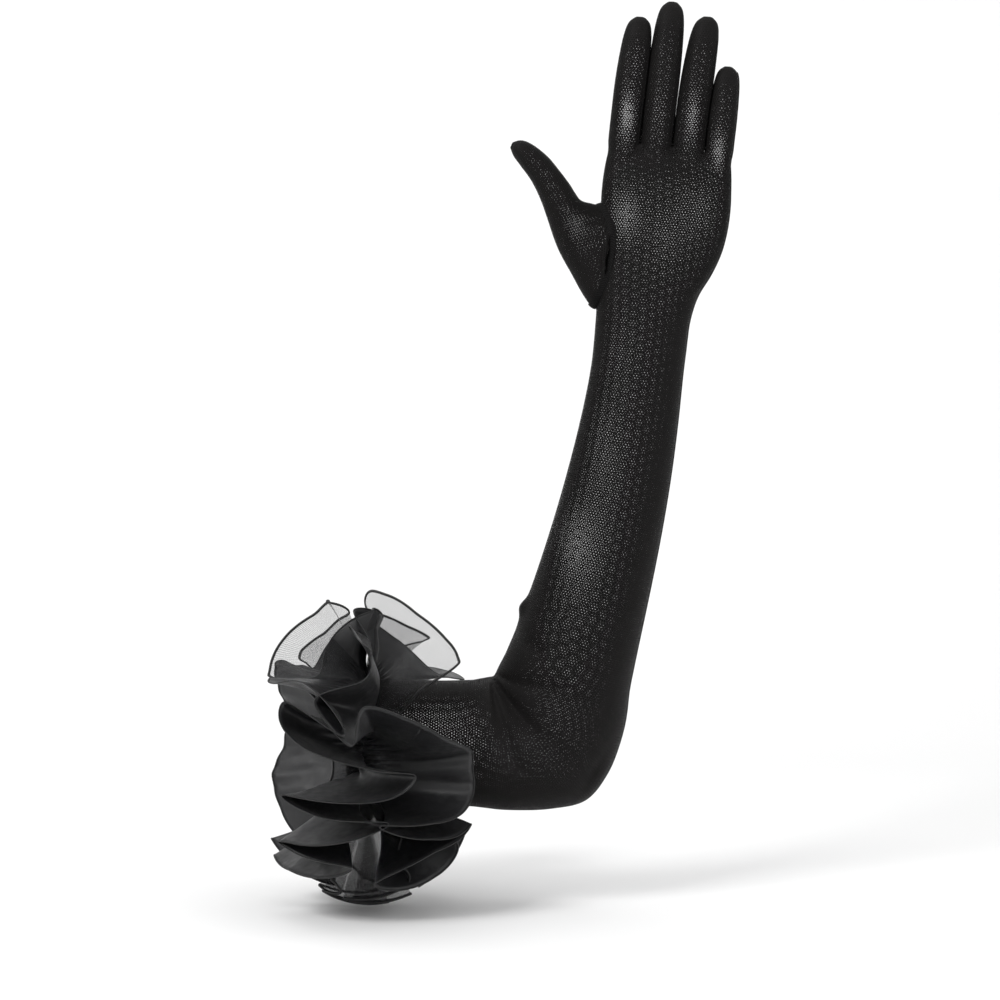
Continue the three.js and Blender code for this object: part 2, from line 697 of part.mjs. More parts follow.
// Seams stand on the net as bands between two skins round the hand.
function handSeams() {
  const band = handSolid(CLEARANCE + SEAM_WALL).subtract(handSolid(CLEARANCE));
  const half = THUMB_SEAM_WIDTH / 2;
  const round = band.intersect(thumbZone(half)).subtract(thumbZone(-half));
  const edge = band.intersect(outerEdgeZone());
  const foot = band.intersect(littleFootZone());
  return [
    named('thumb_seam', toGeometry(round), seamMaterial),
    named('hand_side_seam', toGeometry(edge), seamMaterial),
    named('little_finger_seam', toGeometry(foot), seamMaterial),
  ];
}

// The little finger's side of the hand, in the middle of its depth.
function outerEdgeZone() {
  const little = FINGERS[3];
  const tip = little.foot + little.sway * little.width;
  return prism(
    [[HEEL_OFFSET, CLEARANCE], [FAR, CLEARANCE], [FAR, FAR], [tip, FAR], [little.foot, little.crotch]],
    -SEAM_WIDTH / 2,
    SEAM_WIDTH / 2,
  );
}

// A line across the little finger's foot on the palm's side.
function littleFootZone() {
  const little = FINGERS[3];
  const inner = little.foot - little.width / 2;
  const outer = little.foot + little.width / 2 + FINGER_GAP;
  const drop = little.width / 2;
  const top = PALM_LENGTH - SEAM_WIDTH / 2;
  return prism(
    [[inner, top - SEAM_WIDTH], [outer, top - drop - SEAM_WIDTH], [outer, top - drop], [inner, top]],
    -HAND_HALF_DEPTH,
    -SEAM_WIDTH / 2 - CLEARANCE,
  );
}

// The closing seam down the outer side of the sleeve, a flat band on its rings that comes out
// from under the ruffle.
function sleeveSeam(sections) {
  const lift = CLEARANCE + SEAM_WALL / 2;
  const clear = GATHER_FROM_HEM + SEAM_FROM_GATHER;
  const shown = sections.filter((section) => section.centre.x > clear);
  const rings = shown.map((section) => ({
    centre: ringPoint(section, 0, lift),
    across: section.across,
    halfWidth: SEAM_WALL / 2,
    halfDepth: SEAM_WIDTH / 2,
    square: true,
  }));
  return loft(rings, BAND_CORNERS, 0);
}

// One column of a strip's table, all the way round.
function ruffleValue(form, column, at) {
  const lastTwo = form.slice(-2).map((row) => ({ ...row, at: row.at - FULL_TURN }));
  const firstTwo = form.slice(0, 2).map((row) => ({ ...row, at: row.at + FULL_TURN }));
  return tableValue([...lastTwo, ...form, ...firstTwo], 'at', column, at);
}

// Angles of the strip's facets, with as many in a narrow fold as in a wide one.
function ruffleAngles(form) {
  return form.flatMap((row, index) => {
    const next = form[index + 1]?.at ?? form[0].at + FULL_TURN;
    const steps = Array.from({ length: COLUMNS_PER_FOLD }, (unused, step) => step / COLUMNS_PER_FOLD);
    return steps.map((share) => lerp(row.at, next, share));
  });
}

// A point of a gathered strip. across goes from -1, the hem towards the shoulder, through 0,
// the gathers, to 1, the hem towards the hand.
function rufflePoint(strip, at, across) {
  const hemFlare = radians(ruffleValue(strip.form, across < 0 ? 'left' : 'right', at));
  const rootFlare = radians(strip.rootFlare);
  const reach = ruffleValue(strip.form, 'reach', at);
  const run = (Math.abs(across) * reach * strip.width) / 2 / FLARE_STEPS;
  let out = 0;
  let along = 0;
  for (let step = 0; step < FLARE_STEPS; step += 1) {
    const share = (Math.abs(across) * (step + 0.5)) / FLARE_STEPS;
    const flare = lerp(rootFlare, hemFlare, Math.min(1, share * HEM_SPRING));
    out += Math.sin(flare) * run;
    along += Math.cos(flare) * run;
  }
  const angle = radians(at);
  return new THREE.Vector3(
    GATHER_FROM_HEM + Math.sign(across) * along,
    -Math.cos(angle) * (strip.rootDepth / 2 + out),
    Math.sin(angle) * (strip.rootWidth / 2 + out),
  );
}

// The strip as a closed body: two skins half a wall from its middle surface, joined at both hems.
function ruffleStrip(strip) {
  const rows = 2 * RUFFLE_ROWS + 1;
  const angles = ruffleAngles(strip.form);
  const columns = angles.length;
  const middle = (at, row) => rufflePoint(strip, at, row / RUFFLE_ROWS - 1);
  const positions = [];
  for (const side of [1, -1]) {
    for (const at of angles) {
      for (let row = 0; row < rows; row += 1) {
        const round = middle(at + 1, row).sub(middle(at - 1, row));
        const over = middle(at, Math.min(row + 0.5, rows - 1)).sub(middle(at, Math.max(row - 0.5, 0)));
        const normal = over.cross(round).normalize();
        positions.push(...middle(at, row).addScaledVector(normal, (side * RUFFLE_WALL) / 2));
      }
    }
  }
  const inner = columns * rows;
  const triangles = [];
  const quad = (a, b, c, d) => triangles.push(a, b, c, a, c, d);
  for (let column = 0; column < columns; column += 1) {
    const here = column * rows;
    const next = ((column + 1) % columns) * rows;
    for (let row = 0; row < rows - 1; row += 1) {
      quad(here + row, here + row + 1, next + row + 1, next + row);
      quad(inner + here + row, inner + next + row, inner + next + row + 1, inner + here + row + 1);
    }
    const end = rows - 1;
    quad(here, next, inner + next, inner + here);
    quad(here + end, inner + here + end, inner + next + end, next + end);
  }
  return geometryFrom(positions, triangles);
}

function ruffles() {
  const gathered = tableValue(UPPER_FORM, 'along', 'width', GATHER_FROM_HEM / UPPER_LENGTH);
  const satinLift = 2 * (CLEARANCE + RUFFLE_WALL);
  const organzaLift = satinLift + 2 * (CLEARANCE + RUFFLE_WALL) + RUFFLE_WALL;
  const strips = [
    {
      name: 'satin_ruffle',
      form: SATIN_FORM,
      width: SATIN_WIDTH,
      rootFlare: SATIN_ROOT_FLARE,
      lift: satinLift,
      material: satinMaterial,
    },
    {
      name: 'organza_ruffle',
      form: ORGANZA_FORM,
      width: ORGANZA_WIDTH,
      rootFlare: ORGANZA_ROOT_FLARE,
      lift: organzaLift,
      material: organzaMaterial,
    },
  ];
  return strips.map((strip) => {
    const rootWidth = gathered * ARM_WIDTH + strip.lift;
    const rooted = { ...strip, rootWidth, rootDepth: ARM_DEPTH + strip.lift };
    return named(strip.name, ruffleStrip(rooted), strip.material);
  });
}

function glove() {
  const sections = armSections();
  const mitre = sections.findIndex((section) => section.station === 0.5);
  const wrist = sections[sections.length - 1];
  const root = new THREE.Group();
  root.add(named('upper_sleeve', sleeve(sections.slice(0, mitre + 1)), netMaterial));
  root.add(...ruffles());

  const forearm = new THREE.Group();
  const way = Y.clone().cross(sections[mitre].across).negate();
  forearm.position.copy(way.multiplyScalar(CLEARANCE));
  forearm.add(named('forearm_sleeve', sleeve(sections.slice(mitre)), netMaterial));
  root.add(forearm);

  const hand = new THREE.Group();
  hand.position.copy(wrist.centre).addScaledVector(Y.clone().cross(wrist.across).negate(), CLEARANCE);
  hand.rotation.y = radians(HAND_LEAN);
  hand.add(...handPieces(), ...handSeams());
  forearm.add(hand);
  root.add(named('side_seam', sleeveSeam(sections), seamMaterial));
  return root;
}

export default glove();
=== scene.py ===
import math

import bmesh
import bpy
import numpy as np
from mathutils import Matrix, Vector, interpolate
from mathutils.bvhtree import BVHTree


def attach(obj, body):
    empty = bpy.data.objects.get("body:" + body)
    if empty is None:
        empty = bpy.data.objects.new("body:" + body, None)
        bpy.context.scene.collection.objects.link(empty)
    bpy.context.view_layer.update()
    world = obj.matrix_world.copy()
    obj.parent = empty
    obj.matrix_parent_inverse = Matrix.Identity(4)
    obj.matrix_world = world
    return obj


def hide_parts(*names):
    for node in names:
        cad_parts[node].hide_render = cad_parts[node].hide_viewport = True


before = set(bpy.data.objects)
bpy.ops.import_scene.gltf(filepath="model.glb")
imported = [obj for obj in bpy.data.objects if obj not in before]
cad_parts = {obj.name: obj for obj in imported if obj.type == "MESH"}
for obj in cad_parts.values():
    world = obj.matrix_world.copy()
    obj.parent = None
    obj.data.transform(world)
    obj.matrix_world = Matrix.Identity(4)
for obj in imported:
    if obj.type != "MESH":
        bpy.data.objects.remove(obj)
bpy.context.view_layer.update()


def table(names, *rows):
    """A table's columns by name."""
    return {name: np.array(column, float) for name, column in zip(names.split(), zip(*rows))}


# Sleeve
ARM_WIDTH = 0.072
ARM_DEPTH = 0.069
UPPER_LENGTH = 0.08
ELBOW_TURN = 73
CREASE_RADIUS = 0.003
FOREARM_LENGTH = 0.2075
FOREARM_BEND_POWER = 1.6
WRIST_WIDTH = 0.0527
WRIST_DEPTH = 0.038
HAND_LEAN = 5.7

# Hand
PALM_LENGTH = 0.1
PALM_DEPTH = 0.027
HEEL_OFFSET = 0.006
KNUCKLE_RISE = 0.0096
FINGER_GAP = 0.0009
FINGER_FLATNESS = 0.9
FINGER_BEND_POWER = 1.7
FINGER_ROOT = 0.02
THUMB_REACH = 0.0607
THUMB_RISE = 0.057
THUMB_WIDTH = 0.058
THUMB_DEPTH = 0.025
THUMB_FORWARD = 0.014
HAND_FORM_POWER = 2.5
ROUND_POWER = 2

# Cloth, seams and ruffle
NET_THICKNESS = 0.0004
HOLE_RADIUS = 0.335
HOLE_FILL = 0.12
HEM_DEPTH = 0.007
SEAM_WIDTH = 0.0018
SEAM_HEIGHT = 0.0009
THUMB_SEAM_WIDTH = 0.005
GATHER_FROM_HEM = 0.01
SATIN_WIDTH = 0.126
SATIN_ROOT_FLARE = 24
SATIN_LIFT = 0.0026
ORGANZA_WIDTH = 0.12
ORGANZA_ROOT_FLARE = 62
ORGANZA_LIFT = 0.0062
HEM_SPRING = 1.7
ROOT_FOLLOW = 0.8
GATHERS = 76
GATHER_DEPTH = 0.0019
RUFFLE_THICKNESS = 0.0003
SATIN_HEM = 0.001
ORGANZA_HEM = 0.0015
ORGANZA_COVER = 0.12

# Mesh steps
VOXEL = 0.00075
FINGER_SPREAD = 1.6
FINGER_FILL = 0.0005
ROUND_STEPS = 144
ROW_PITCH = 0.0015
SHELL_FACES = 92000
RUFFLE_COLUMNS = 1080
RUFFLE_ROWS = 22
HEM_POINTS = 3600

# Sleeve above the elbow. along is a share of UPPER_LENGTH, width and centre of ARM_WIDTH.
UPPER_FORM = table(
    "along width centre",
    (0, 0.935, 0),
    (0.32, 0.98, 0.007),
    (0.64, 0.98, -0.004),
    (0.88, 0.995, -0.006),
)

# Fan of sections round the elbow's crease. turn is a share of ELBOW_TURN.
ELBOW_FORM = table(
    "turn width depth",
    (0, 1.04, 1),
    (0.17, 1.08, 1.01),
    (0.34, 1.15, 1.02),
    (0.5, 1.225, 1.02),
    (0.66, 1.19, 1.02),
    (0.83, 1.13, 1.01),
    (1, 1.085, 1),
)

# Sleeve below the elbow. Sizes go from 0, the wrist's, to 1, the upper arm's.
FOREARM_FORM = table(
    "along width depth",
    (0, 1.33, 1),
    (0.06, 1.08, 1),
    (0.12, 0.95, 0.92),
    (0.2, 0.81, 0.82),
    (0.315, 0.65, 0.66),
    (0.45, 0.487, 0.5),
    (0.63, 0.28, 0.32),
    (0.8, 0.083, 0.15),
    (0.91, -0.015, 0.04),
    (1, 0, 0),
)

# Folds of the net at the elbow. station 0 and 1 are the start and end of the turn. at is the
# angle round the sleeve: 0 the outer side, 90 the back, 180 the crease, 270 the palm's side.
# depth is a share of CREASE_RADIUS, breadth of ARM_WIDTH.
FOLDS = table(
    "station at to_station to_at depth breadth",
    (-0.14, 190, -0.16, 288, 0.55, 0.06),
    (0.1, 190, 0.22, 285, 0.75, 0.06),
    (0.4, 190, 0.62, 325, 0.9, 0.08),
    (0.9, 192, 1.05, 262, 0.6, 0.07),
    (1.5, 185, 1.42, 235, 0.45, 0.05),
    (1.82, 176, 1.82, 186, -0.9, 0.07),
    (0.12, 172, 0.2, 84, 0.75, 0.06),
    (0.5, 170, 0.66, 44, 0.9, 0.08),
    (0.92, 170, 1.1, 96, 0.6, 0.07),
)

# Palm and back. along is a share of PALM_LENGTH, width goes from 0, the wrist's, to 1, the
# knuckles', depth from 0, the palm's, to 1, the wrist's, centre from 0 to HEEL_OFFSET.
PALM_FORM = table(
    "along width depth centre",
    (0, 0, 1, 0),
    (0.125, 0.05, 0.82, 0.02),
    (0.268, 0.276, 0.55, 0.21),
    (0.4, 0.635, 0.32, 0.74),
    (0.525, 0.923, 0.14, 1.05),
    (0.65, 1.116, 0, 1.12),
    (0.775, 1.21, -0.12, 1.07),
    (0.9, 1.16, -0.34, 1.02),
    (1, 1.05, -0.88, 1),
    (1.05, 0.93, -1.3, 0.98),
    (1.08, 0.8, -1.75, 0.96),
)
KNUCKLE_FORM = table("up depth", (0, 0.62), (0.34, 0.56), (0.8, 0.42), (1, 0.26))
FINGER_FORM = table(
    "along width depth",
    (0, 1, 1),
    (0.25, 1.01, 0.98),
    (0.5, 1.02, 0.97),
    (0.74, 0.95, 0.9),
    (0.88, 0.84, 0.77),
    (0.96, 0.64, 0.57),
    (1, 0.28, 0.24),
)

# Thumb from inside the palm to its tip, as shares of the thumb's sizes. face is the angle of
# each section's line from its lower to its upper edge.
THUMB_FORM = table(
    "out up width depth forward face",
    (0, 0, 0.84, 1, 0, 90),
    (0.12, 0.02, 1, 1, 0.05, 92),
    (0.31, 0.19, 0.706, 0.97, 0.18, 86),
    (0.413, 0.328, 0.57, 0.9, 0.3, 78),
    (0.509, 0.504, 0.43, 0.82, 0.45, 68),
    (0.6, 0.654, 0.34, 0.76, 0.58, 62),
    (0.712, 0.802, 0.285, 0.72, 0.72, 60),
    (0.843, 0.919, 0.235, 0.64, 0.87, 60),
    (0.935, 0.978, 0.175, 0.48, 0.95, 66),
    (1, 1, 0.06, 0.14, 1, 74),
)
THUMB_ROOT_ACROSS = -0.42
THUMB_ROOT_UP = 0.43

# Seam round the set-in thumb. across is a share of the knuckles' width, up of PALM_LENGTH.
THUMB_SEAM_LINE = table(
    "across up",
    (-0.5, 0.08),
    (-0.375, 0.2),
    (-0.33, 0.32),
    (-0.312, 0.46),
    (-0.325, 0.58),
    (-0.39, 0.68),
    (-0.5, 0.76),
)

# Ruffle round the sleeve. at is the angle round it: 0 the palm's side, 90 the top. reach is a
# share of each half strip's width. left and right are the angles between the sleeve and the
# halves that point to the shoulder and to the hand, and their turns swing the hems round it.
SATIN_FORM = table(
    "at reach left left_turn right right_turn",
    (2, 1, 73, 2, 74, 12),
    (8, 1, 56, 6, 99, 9),
    (15, 1, 58, 6, 105, -11),
    (22, 1, 95, -15, 128, -3),
    (30, 1, 73, -4, 103, -5),
    (38, 1, 48, -8, 97, -4),
    (47, 0.93, 34, -9, 102, -6),
    (56, 0.84, 20, -12, 110, -3),
    (63, 0.66, 8, -6, 108, -4),
    (70, 0.42, 14, 0, 96, 0),
    (77, 0.64, 100, 3, 114, 0),
    (84, 0.68, 108, 0, 112, 0),
    (91, 0.62, 118, 0, 96, 0),
    (99, 0.56, 108, 0, 104, 0),
    (109, 0.5, 20, 0, 70, 4),
    (122, 0.68, 14, 0, 40, 20),
    (136, 0.98, 26, 0, 34, 16),
    (152, 1.02, 30, 0, 84, 6),
    (170, 1, 34, 0, 94, 0),
    (188, 1, 34, 0, 76, 0),
    (206, 1, 20, 0, 90, 0),
    (224, 0.97, 28, 0, 70, 0),
    (240, 0.94, 58, 0, 34, 0),
    (252, 0.94, 36, 0, 18, 0),
    (262, 0.94, 22, 0, 70, 0),
    (272, 0.8, 78, 0, 24, 0),
    (285, 0.92, 32, 0, 30, 0),
    (300, 0.97, 61, 5, 96, 10),
    (308, 1, 100, 14, 61, 12),
    (316, 1, 51, 7, 14, -4),
    (323, 1, 118, 15, 91, 15),
    (330, 1, 78, 11, 28, 0),
    (337, 1, 58, 9, 8, 0),
    (344, 1, 120, 3, 14, 7),
    (350, 1, 136, 4, 15, 11),
    (356, 1, 112, 1, 51, 12),
)
ORGANZA_FORM = table(
    "at reach left left_turn right right_turn",
    (2, 0.32, -20, 0, -20, 0),
    (16, 0.32, -20, 0, -20, 0),
    (30, 0.38, -16, 0, -16, 0),
    (42, 0.6, 4, 0, 4, 0),
    (52, 0.96, -6, 0, 3, 0),
    (60, 0.98, -4, 0, 5, 0),
    (68, 0.9, 22, 0, 21, 0),
    (77, 0.8, 46, 0, 50, 0),
    (86, 0.8, 62, 0, 77, 0),
    (95, 0.8, 63, 0, 92, 0),
    (104, 0.66, 74, 0, 92, 0),
    (113, 0.68, 60, 0, 84, 0),
    (122, 0.72, 44, 0, 62, 0),
    (134, 0.88, 26, 0, 48, 0),
    (152, 1, 44, 0, 78, 0),
    (170, 0.95, 78, 0, 80, 0),
    (188, 1, 58, 0, 84, 0),
    (206, 1, 32, 0, 66, 0),
    (224, 0.97, 54, 0, 68, 0),
    (240, 0.94, 82, 0, 70, 0),
    (254, 0.9, 100, 0, 40, 0),
    (267, 0.88, 56, 0, 100, 0),
    (278, 0.9, 104, 0, 62, 0),
    (288, 0.88, 64, 0, 106, 0),
    (299, 0.88, 78, 0, 62, 0),
    (311, 0.7, 50, 0, 60, 0),
    (322, 0.46, 20, 0, 20, 0),
    (334, 0.34, -16, 0, -16, 0),
    (348, 0.32, -20, 0, -20, 0),
)

# Fingers from index to little: length, width, rise of the crotch, and lean of the tip.
FINGERS = [
    {"name": "index", "length": 0.072, "width": 0.0173, "rise": KNUCKLE_RISE, "sway": 0.13},
    {"name": "middle", "length": 0.0824, "width": 0.0175, "rise": KNUCKLE_RISE, "sway": 0.08},
    {"name": "ring", "length": 0.0759, "width": 0.0177, "rise": KNUCKLE_RISE, "sway": 0.21},
    {"name": "little", "length": 0.0584, "width": 0.015, "rise": 0, "sway": 0.06},
]
KNUCKLE_WIDTH = sum(finger["width"] for finger in FINGERS) + 3 * FINGER_GAP
WEB = (-0.0326, 0.0736)
FOURCHETTE_REACH = 0.84
FOURCHETTE_HALF_DEPTH = 0.24
FOURCHETTE_DROP = 0.0025

# Spots where the net's holes are opened wider to paint highlights, and two where they are closed up for painted
# shade: place seen from the palm's side, sizes and how much.
LEAST_OPEN = 0.62
MOST_OPEN = 1.16
PAINTED_LIGHT_SPOTS = table(
    "x z wide high more",
    (0.128, 0.295, 0.009, 0.015, 0.36),
    (0.113, 0.317, 0.006, 0.013, 0.04),
    (0.156, 0.3, 0.01, 0.016, 0.46),
    (0.2, 0.303, 0.013, 0.017, 0.24),
    (0.18, 0.289, 0.011, 0.018, 0.2),
    (0.158, 0.357, 0.0055, 0.015, 0.62),
    (0.164, 0.388, 0.004, 0.009, 0.16),
    (0.176, 0.36, 0.0055, 0.014, 0.18),
    (0.195, 0.357, 0.0055, 0.015, 0.46),
    (0.21, 0.337, 0.005, 0.013, 0.52),
    (0.151, 0.226, 0.011, 0.025, 0.2),
    (0.142, 0.172, 0.014, 0.036, 0.3),
    (0.126, 0.115, 0.016, 0.032, 0.5),
    (0.111, 0.07, 0.015, 0.018, 0.12),
    (0.05, 0.015, 0.028, 0.018, 0.3),
    (0.083, 0.029, 0.006, 0.02, -0.4),
    (0.174, 0.33, 0.02, 0.006, -0.14),
)

PALM_NODES = ["hand", "thumb"]
FINGER_NODES = [f"{finger['name']}_finger" for finger in FINGERS]
FOURCHETTE_NODES = ["fourchette_index_middle", "fourchette_middle_ring", "fourchette_ring_little"]
SLEEVE_NODES = ["upper_sleeve", "forearm_sleeve"]


def place_fingers():
    edge = HEEL_OFFSET - KNUCKLE_WIDTH / 2
    for finger in FINGERS:
        finger["foot"] = edge + finger["width"] / 2
        finger["crotch"] = PALM_LENGTH + finger["rise"]
        edge += finger["width"] + FINGER_GAP


def finger_axis(finger, up):
    """Where a finger's middle stands at each height."""
    share = np.clip((up - finger["crotch"]) / finger["length"], 0, 1)
    return finger["foot"] + finger["sway"] * finger["width"] * share**FINGER_BEND_POWER


def smooth_value(form, place, column, at):
    """Smooth value of one column of a table whose rows stand at increasing places."""
    places, values = form[place], form[column]
    rows = np.arange(len(places))
    ahead = np.minimum(rows + 1, len(rows) - 1)
    behind = np.maximum(rows - 1, 0)
    slopes = (values[ahead] - values[behind]) / (places[ahead] - places[behind])
    end = np.clip(np.searchsorted(places, at), 1, len(rows) - 1)
    start = end - 1
    span = places[end] - places[start]
    share = np.clip((at - places[start]) / span, 0, 1)
    square = share**2
    cube = share**3
    return (
        (2 * cube - 3 * square + 1) * values[start]
        + (cube - 2 * square + share) * slopes[start] * span
        + (3 * square - 2 * cube) * values[end]
        + (cube - square) * slopes[end] * span
    )


def mix(start, end, share):
    return start + (end - start) * share


def smooth_step(low, high, value):
    share = np.clip((value - low) / (high - low), 0, 1)
    return share * share * (3 - 2 * share)


# Rings and lofts
def ring_rows(centres, acrosses, half_widths, half_depths, powers=ROUND_POWER, reliefs=0):
    """Ovals in the planes of each across and Y, one row of points for each centre."""
    angles = np.linspace(0, 2 * math.pi, ROUND_STEPS, endpoint=False)
    powers = np.broadcast_to(powers, len(centres))[:, None]
    cosine, sine = np.cos(angles)[None, :], np.sin(angles)[None, :]
    wide = np.sign(cosine) * np.abs(cosine) ** (2 / powers) * (half_widths[:, None] + reliefs)
    deep = np.sign(sine) * np.abs(sine) ** (2 / powers) * (half_depths[:, None] + reliefs)
    points = centres[:, None, :] + wide[:, :, None] * acrosses[:, None, :]
    points[:, :, 1] += deep
    return points


def cloth_places(rings, offsets):
    """Where each ring's points lie on the flat net: across from the middle of its face, and along."""
    steps = np.linalg.norm(np.roll(rings, -1, 1) - rings, axis=2)
    girths = steps.sum(1, keepdims=True)
    gone = np.cumsum(steps, axis=1) - steps
    across = np.abs(gone - girths / 2) - girths / 4 + offsets[:, None]
    middles = rings.mean(1)
    runs = np.linalg.norm(np.diff(middles, axis=0), axis=1)
    along = np.concatenate([[0], np.cumsum(runs)])
    return across, np.repeat(along[:, None], ROUND_STEPS, axis=1)


ELBOW_ARC = math.radians(ELBOW_TURN) * (ARM_WIDTH / 2 + CREASE_RADIUS)
ELBOW_PIVOT = np.array([UPPER_LENGTH, 0, ELBOW_FORM["width"][0] * ARM_WIDTH / 2 + CREASE_RADIUS])
OPENING_SPARE = 0.1


def upper_sections():
    along = np.arange(-OPENING_SPARE, UPPER_FORM["along"][-1], ROW_PITCH / UPPER_LENGTH)
    centres = np.zeros((len(along), 3))
    centres[:, 0] = along * UPPER_LENGTH
    centres[:, 2] = smooth_value(UPPER_FORM, "along", "centre", along) * ARM_WIDTH
    acrosses = np.tile([0.0, 0.0, -1.0], (len(along), 1))
    widths = smooth_value(UPPER_FORM, "along", "width", along) * ARM_WIDTH / 2
    depths = np.full(len(along), ARM_DEPTH / 2)
    return centres, acrosses, widths, depths, (along - 1) * UPPER_LENGTH / ELBOW_ARC


def elbow_sections():
    turn = np.linspace(0, 1, round(ELBOW_ARC / ROW_PITCH))
    turned = np.radians(ELBOW_TURN * turn)
    acrosses = np.stack([np.sin(turned), 0 * turned, -np.cos(turned)], axis=1)
    widths = smooth_value(ELBOW_FORM, "turn", "width", turn) * ARM_WIDTH / 2
    centres = ELBOW_PIVOT + acrosses * (CREASE_RADIUS + widths)[:, None]
    depths = smooth_value(ELBOW_FORM, "turn", "depth", turn) * ARM_DEPTH / 2
    return centres, acrosses, widths, depths, turn


def forearm_sections(start):
    count = round(FOREARM_LENGTH / ROW_PITCH)
    along = np.arange(1, count + 1) / count
    lean = np.radians(mix(90 - ELBOW_TURN, HAND_LEAN, (along - 0.5 / count) ** FOREARM_BEND_POWER))
    ways = np.stack([np.sin(lean), 0 * lean, np.cos(lean)], axis=1)
    centres = start + np.cumsum(ways, axis=0) * FOREARM_LENGTH / count
    acrosses = np.stack([np.cos(lean), 0 * lean, -np.sin(lean)], axis=1)
    widths = mix(WRIST_WIDTH, ARM_WIDTH, smooth_value(FOREARM_FORM, "along", "width", along)) / 2
    depths = mix(WRIST_DEPTH, ARM_DEPTH, smooth_value(FOREARM_FORM, "along", "depth", along)) / 2
    return centres, acrosses, widths, depths, 1 + along * FOREARM_LENGTH / ELBOW_ARC


def fold_relief(station, at):
    """Height of the folds over the smooth sleeve, from the distance to each fold's line."""
    girth = math.radians(1) * ARM_WIDTH / 2
    relief = np.zeros(np.broadcast(station, at).shape)
    for row in zip(*FOLDS.values()):
        from_station, from_at, to_station, to_at, depth, breadth = row
        run = (to_station - from_station) * ELBOW_ARC
        round_it = (to_at - from_at) * girth
        ahead = (station - from_station) * ELBOW_ARC
        aside = (at - from_at) * girth
        share = np.clip((ahead * run + aside * round_it) / (run**2 + round_it**2), 0, 1)
        away = np.hypot(ahead - share * run, aside - share * round_it)
        relief -= depth * CREASE_RADIUS * np.exp(-((away / (breadth * ARM_WIDTH)) ** 2))
    return relief


def arm_rings():
    elbow = elbow_sections()
    parts = zip(upper_sections(), elbow, forearm_sections(elbow[0][-1]))
    centres, acrosses, widths, depths, stations = (np.concatenate(part) for part in parts)
    at = np.linspace(0, 360, ROUND_STEPS, endpoint=False)[None, :]
    reliefs = fold_relief(stations[:, None], at)
    return centres, ring_rows(centres, acrosses, widths, depths, reliefs=reliefs)


# Hand, in its own frame on the wrist
def to_glove(points, wrist):
    """From the hand's own frame to the glove's."""
    lean = math.radians(HAND_LEAN)
    x, y, z = points[..., 0], points[..., 1], points[..., 2]
    turned = [x * math.cos(lean) + z * math.sin(lean), y, z * math.cos(lean) - x * math.sin(lean)]
    return np.stack(turned, axis=-1) + wrist


def to_hand(points, wrist):
    """From the glove's frame to the hand's own."""
    lean = math.radians(HAND_LEAN)
    x, y, z = (points - wrist).T
    return np.stack([x * math.cos(lean) - z * math.sin(lean), y, x * math.sin(lean) + z * math.cos(lean)], axis=1)


def upright_rings(x, up, half_widths, half_depths, powers=ROUND_POWER, forward=0):
    centres = np.stack([x + 0 * up, -forward + 0 * up, up], axis=1)
    acrosses = np.tile([1.0, 0.0, 0.0], (len(up), 1))
    return ring_rows(centres, acrosses, half_widths, half_depths, powers)


def palm_rings():
    top = PALM_FORM["along"][-1]
    along = np.linspace(0, top, round(top * PALM_LENGTH / ROW_PITCH))
    widths, depths, centres = (
        smooth_value(PALM_FORM, "along", column, along) for column in ("width", "depth", "centre")
    )
    powers = mix(HAND_FORM_POWER, ROUND_POWER, np.maximum(0, depths))
    half_widths = mix(WRIST_WIDTH, KNUCKLE_WIDTH, widths) / 2
    half_depths = mix(PALM_DEPTH, WRIST_DEPTH, depths) / 2
    return upright_rings(centres * HEEL_OFFSET, along * PALM_LENGTH, half_widths, half_depths, powers)


def knuckle_rings():
    index, ring = FINGERS[0], FINGERS[2]
    share = np.linspace(0, 1, 12)
    up = mix(PALM_LENGTH - FINGER_ROOT, PALM_LENGTH + KNUCKLE_RISE, share)
    half_depths = smooth_value(KNUCKLE_FORM, "up", "depth", share) * PALM_DEPTH / 2
    half_widths = np.full(len(share), (ring["foot"] - index["foot"]) / 2)
    return upright_rings((ring["foot"] + index["foot"]) / 2, up, half_widths, half_depths, HAND_FORM_POWER)


def finger_rings(finger):
    """A stall from inside the palm to its rounded tip."""
    below = np.linspace(PALM_LENGTH - FINGER_ROOT - finger["crotch"], 0, 8, endpoint=False)
    above = np.sin(np.linspace(0, math.pi / 2, round(finger["length"] / ROW_PITCH)))
    along = np.concatenate([below / finger["length"], above])
    widths = smooth_value(FINGER_FORM, "along", "width", along) * finger["width"] / 2
    depths = smooth_value(FINGER_FORM, "along", "depth", along) * finger["width"] * FINGER_FLATNESS / 2
    up = finger["crotch"] + along * finger["length"]
    return upright_rings(finger_axis(finger, up), up, widths, depths)


def thumb_rings():
    rows = np.arange(len(THUMB_FORM["out"]), dtype=float)
    form = {"row": rows, **THUMB_FORM}
    at = np.linspace(0, rows[-1], 80)
    out, up, width, depth, forward, face = (
        smooth_value(form, "row", column, at) for column in THUMB_FORM
    )
    root_x = THUMB_ROOT_ACROSS * KNUCKLE_WIDTH + HEEL_OFFSET
    centres = np.stack(
        [root_x - out * THUMB_REACH, -forward * THUMB_FORWARD, THUMB_ROOT_UP * PALM_LENGTH + up * THUMB_RISE],
        axis=1,
    )
    face = np.radians(face)
    acrosses = np.stack([np.cos(face), 0 * face, np.sin(face)], axis=1)
    return ring_rows(centres, acrosses, width * THUMB_WIDTH / 2, depth * THUMB_DEPTH / 2)


# Meshes
def new_object(name, points, faces, smooth=True):
    mesh = bpy.data.meshes.new(name)
    mesh.from_pydata([tuple(point) for point in points], [], faces)
    mesh.update()
    if smooth:
        mesh.shade_smooth()
    obj = bpy.data.objects.new(name, mesh)
    bpy.context.scene.collection.objects.link(obj)
    return obj


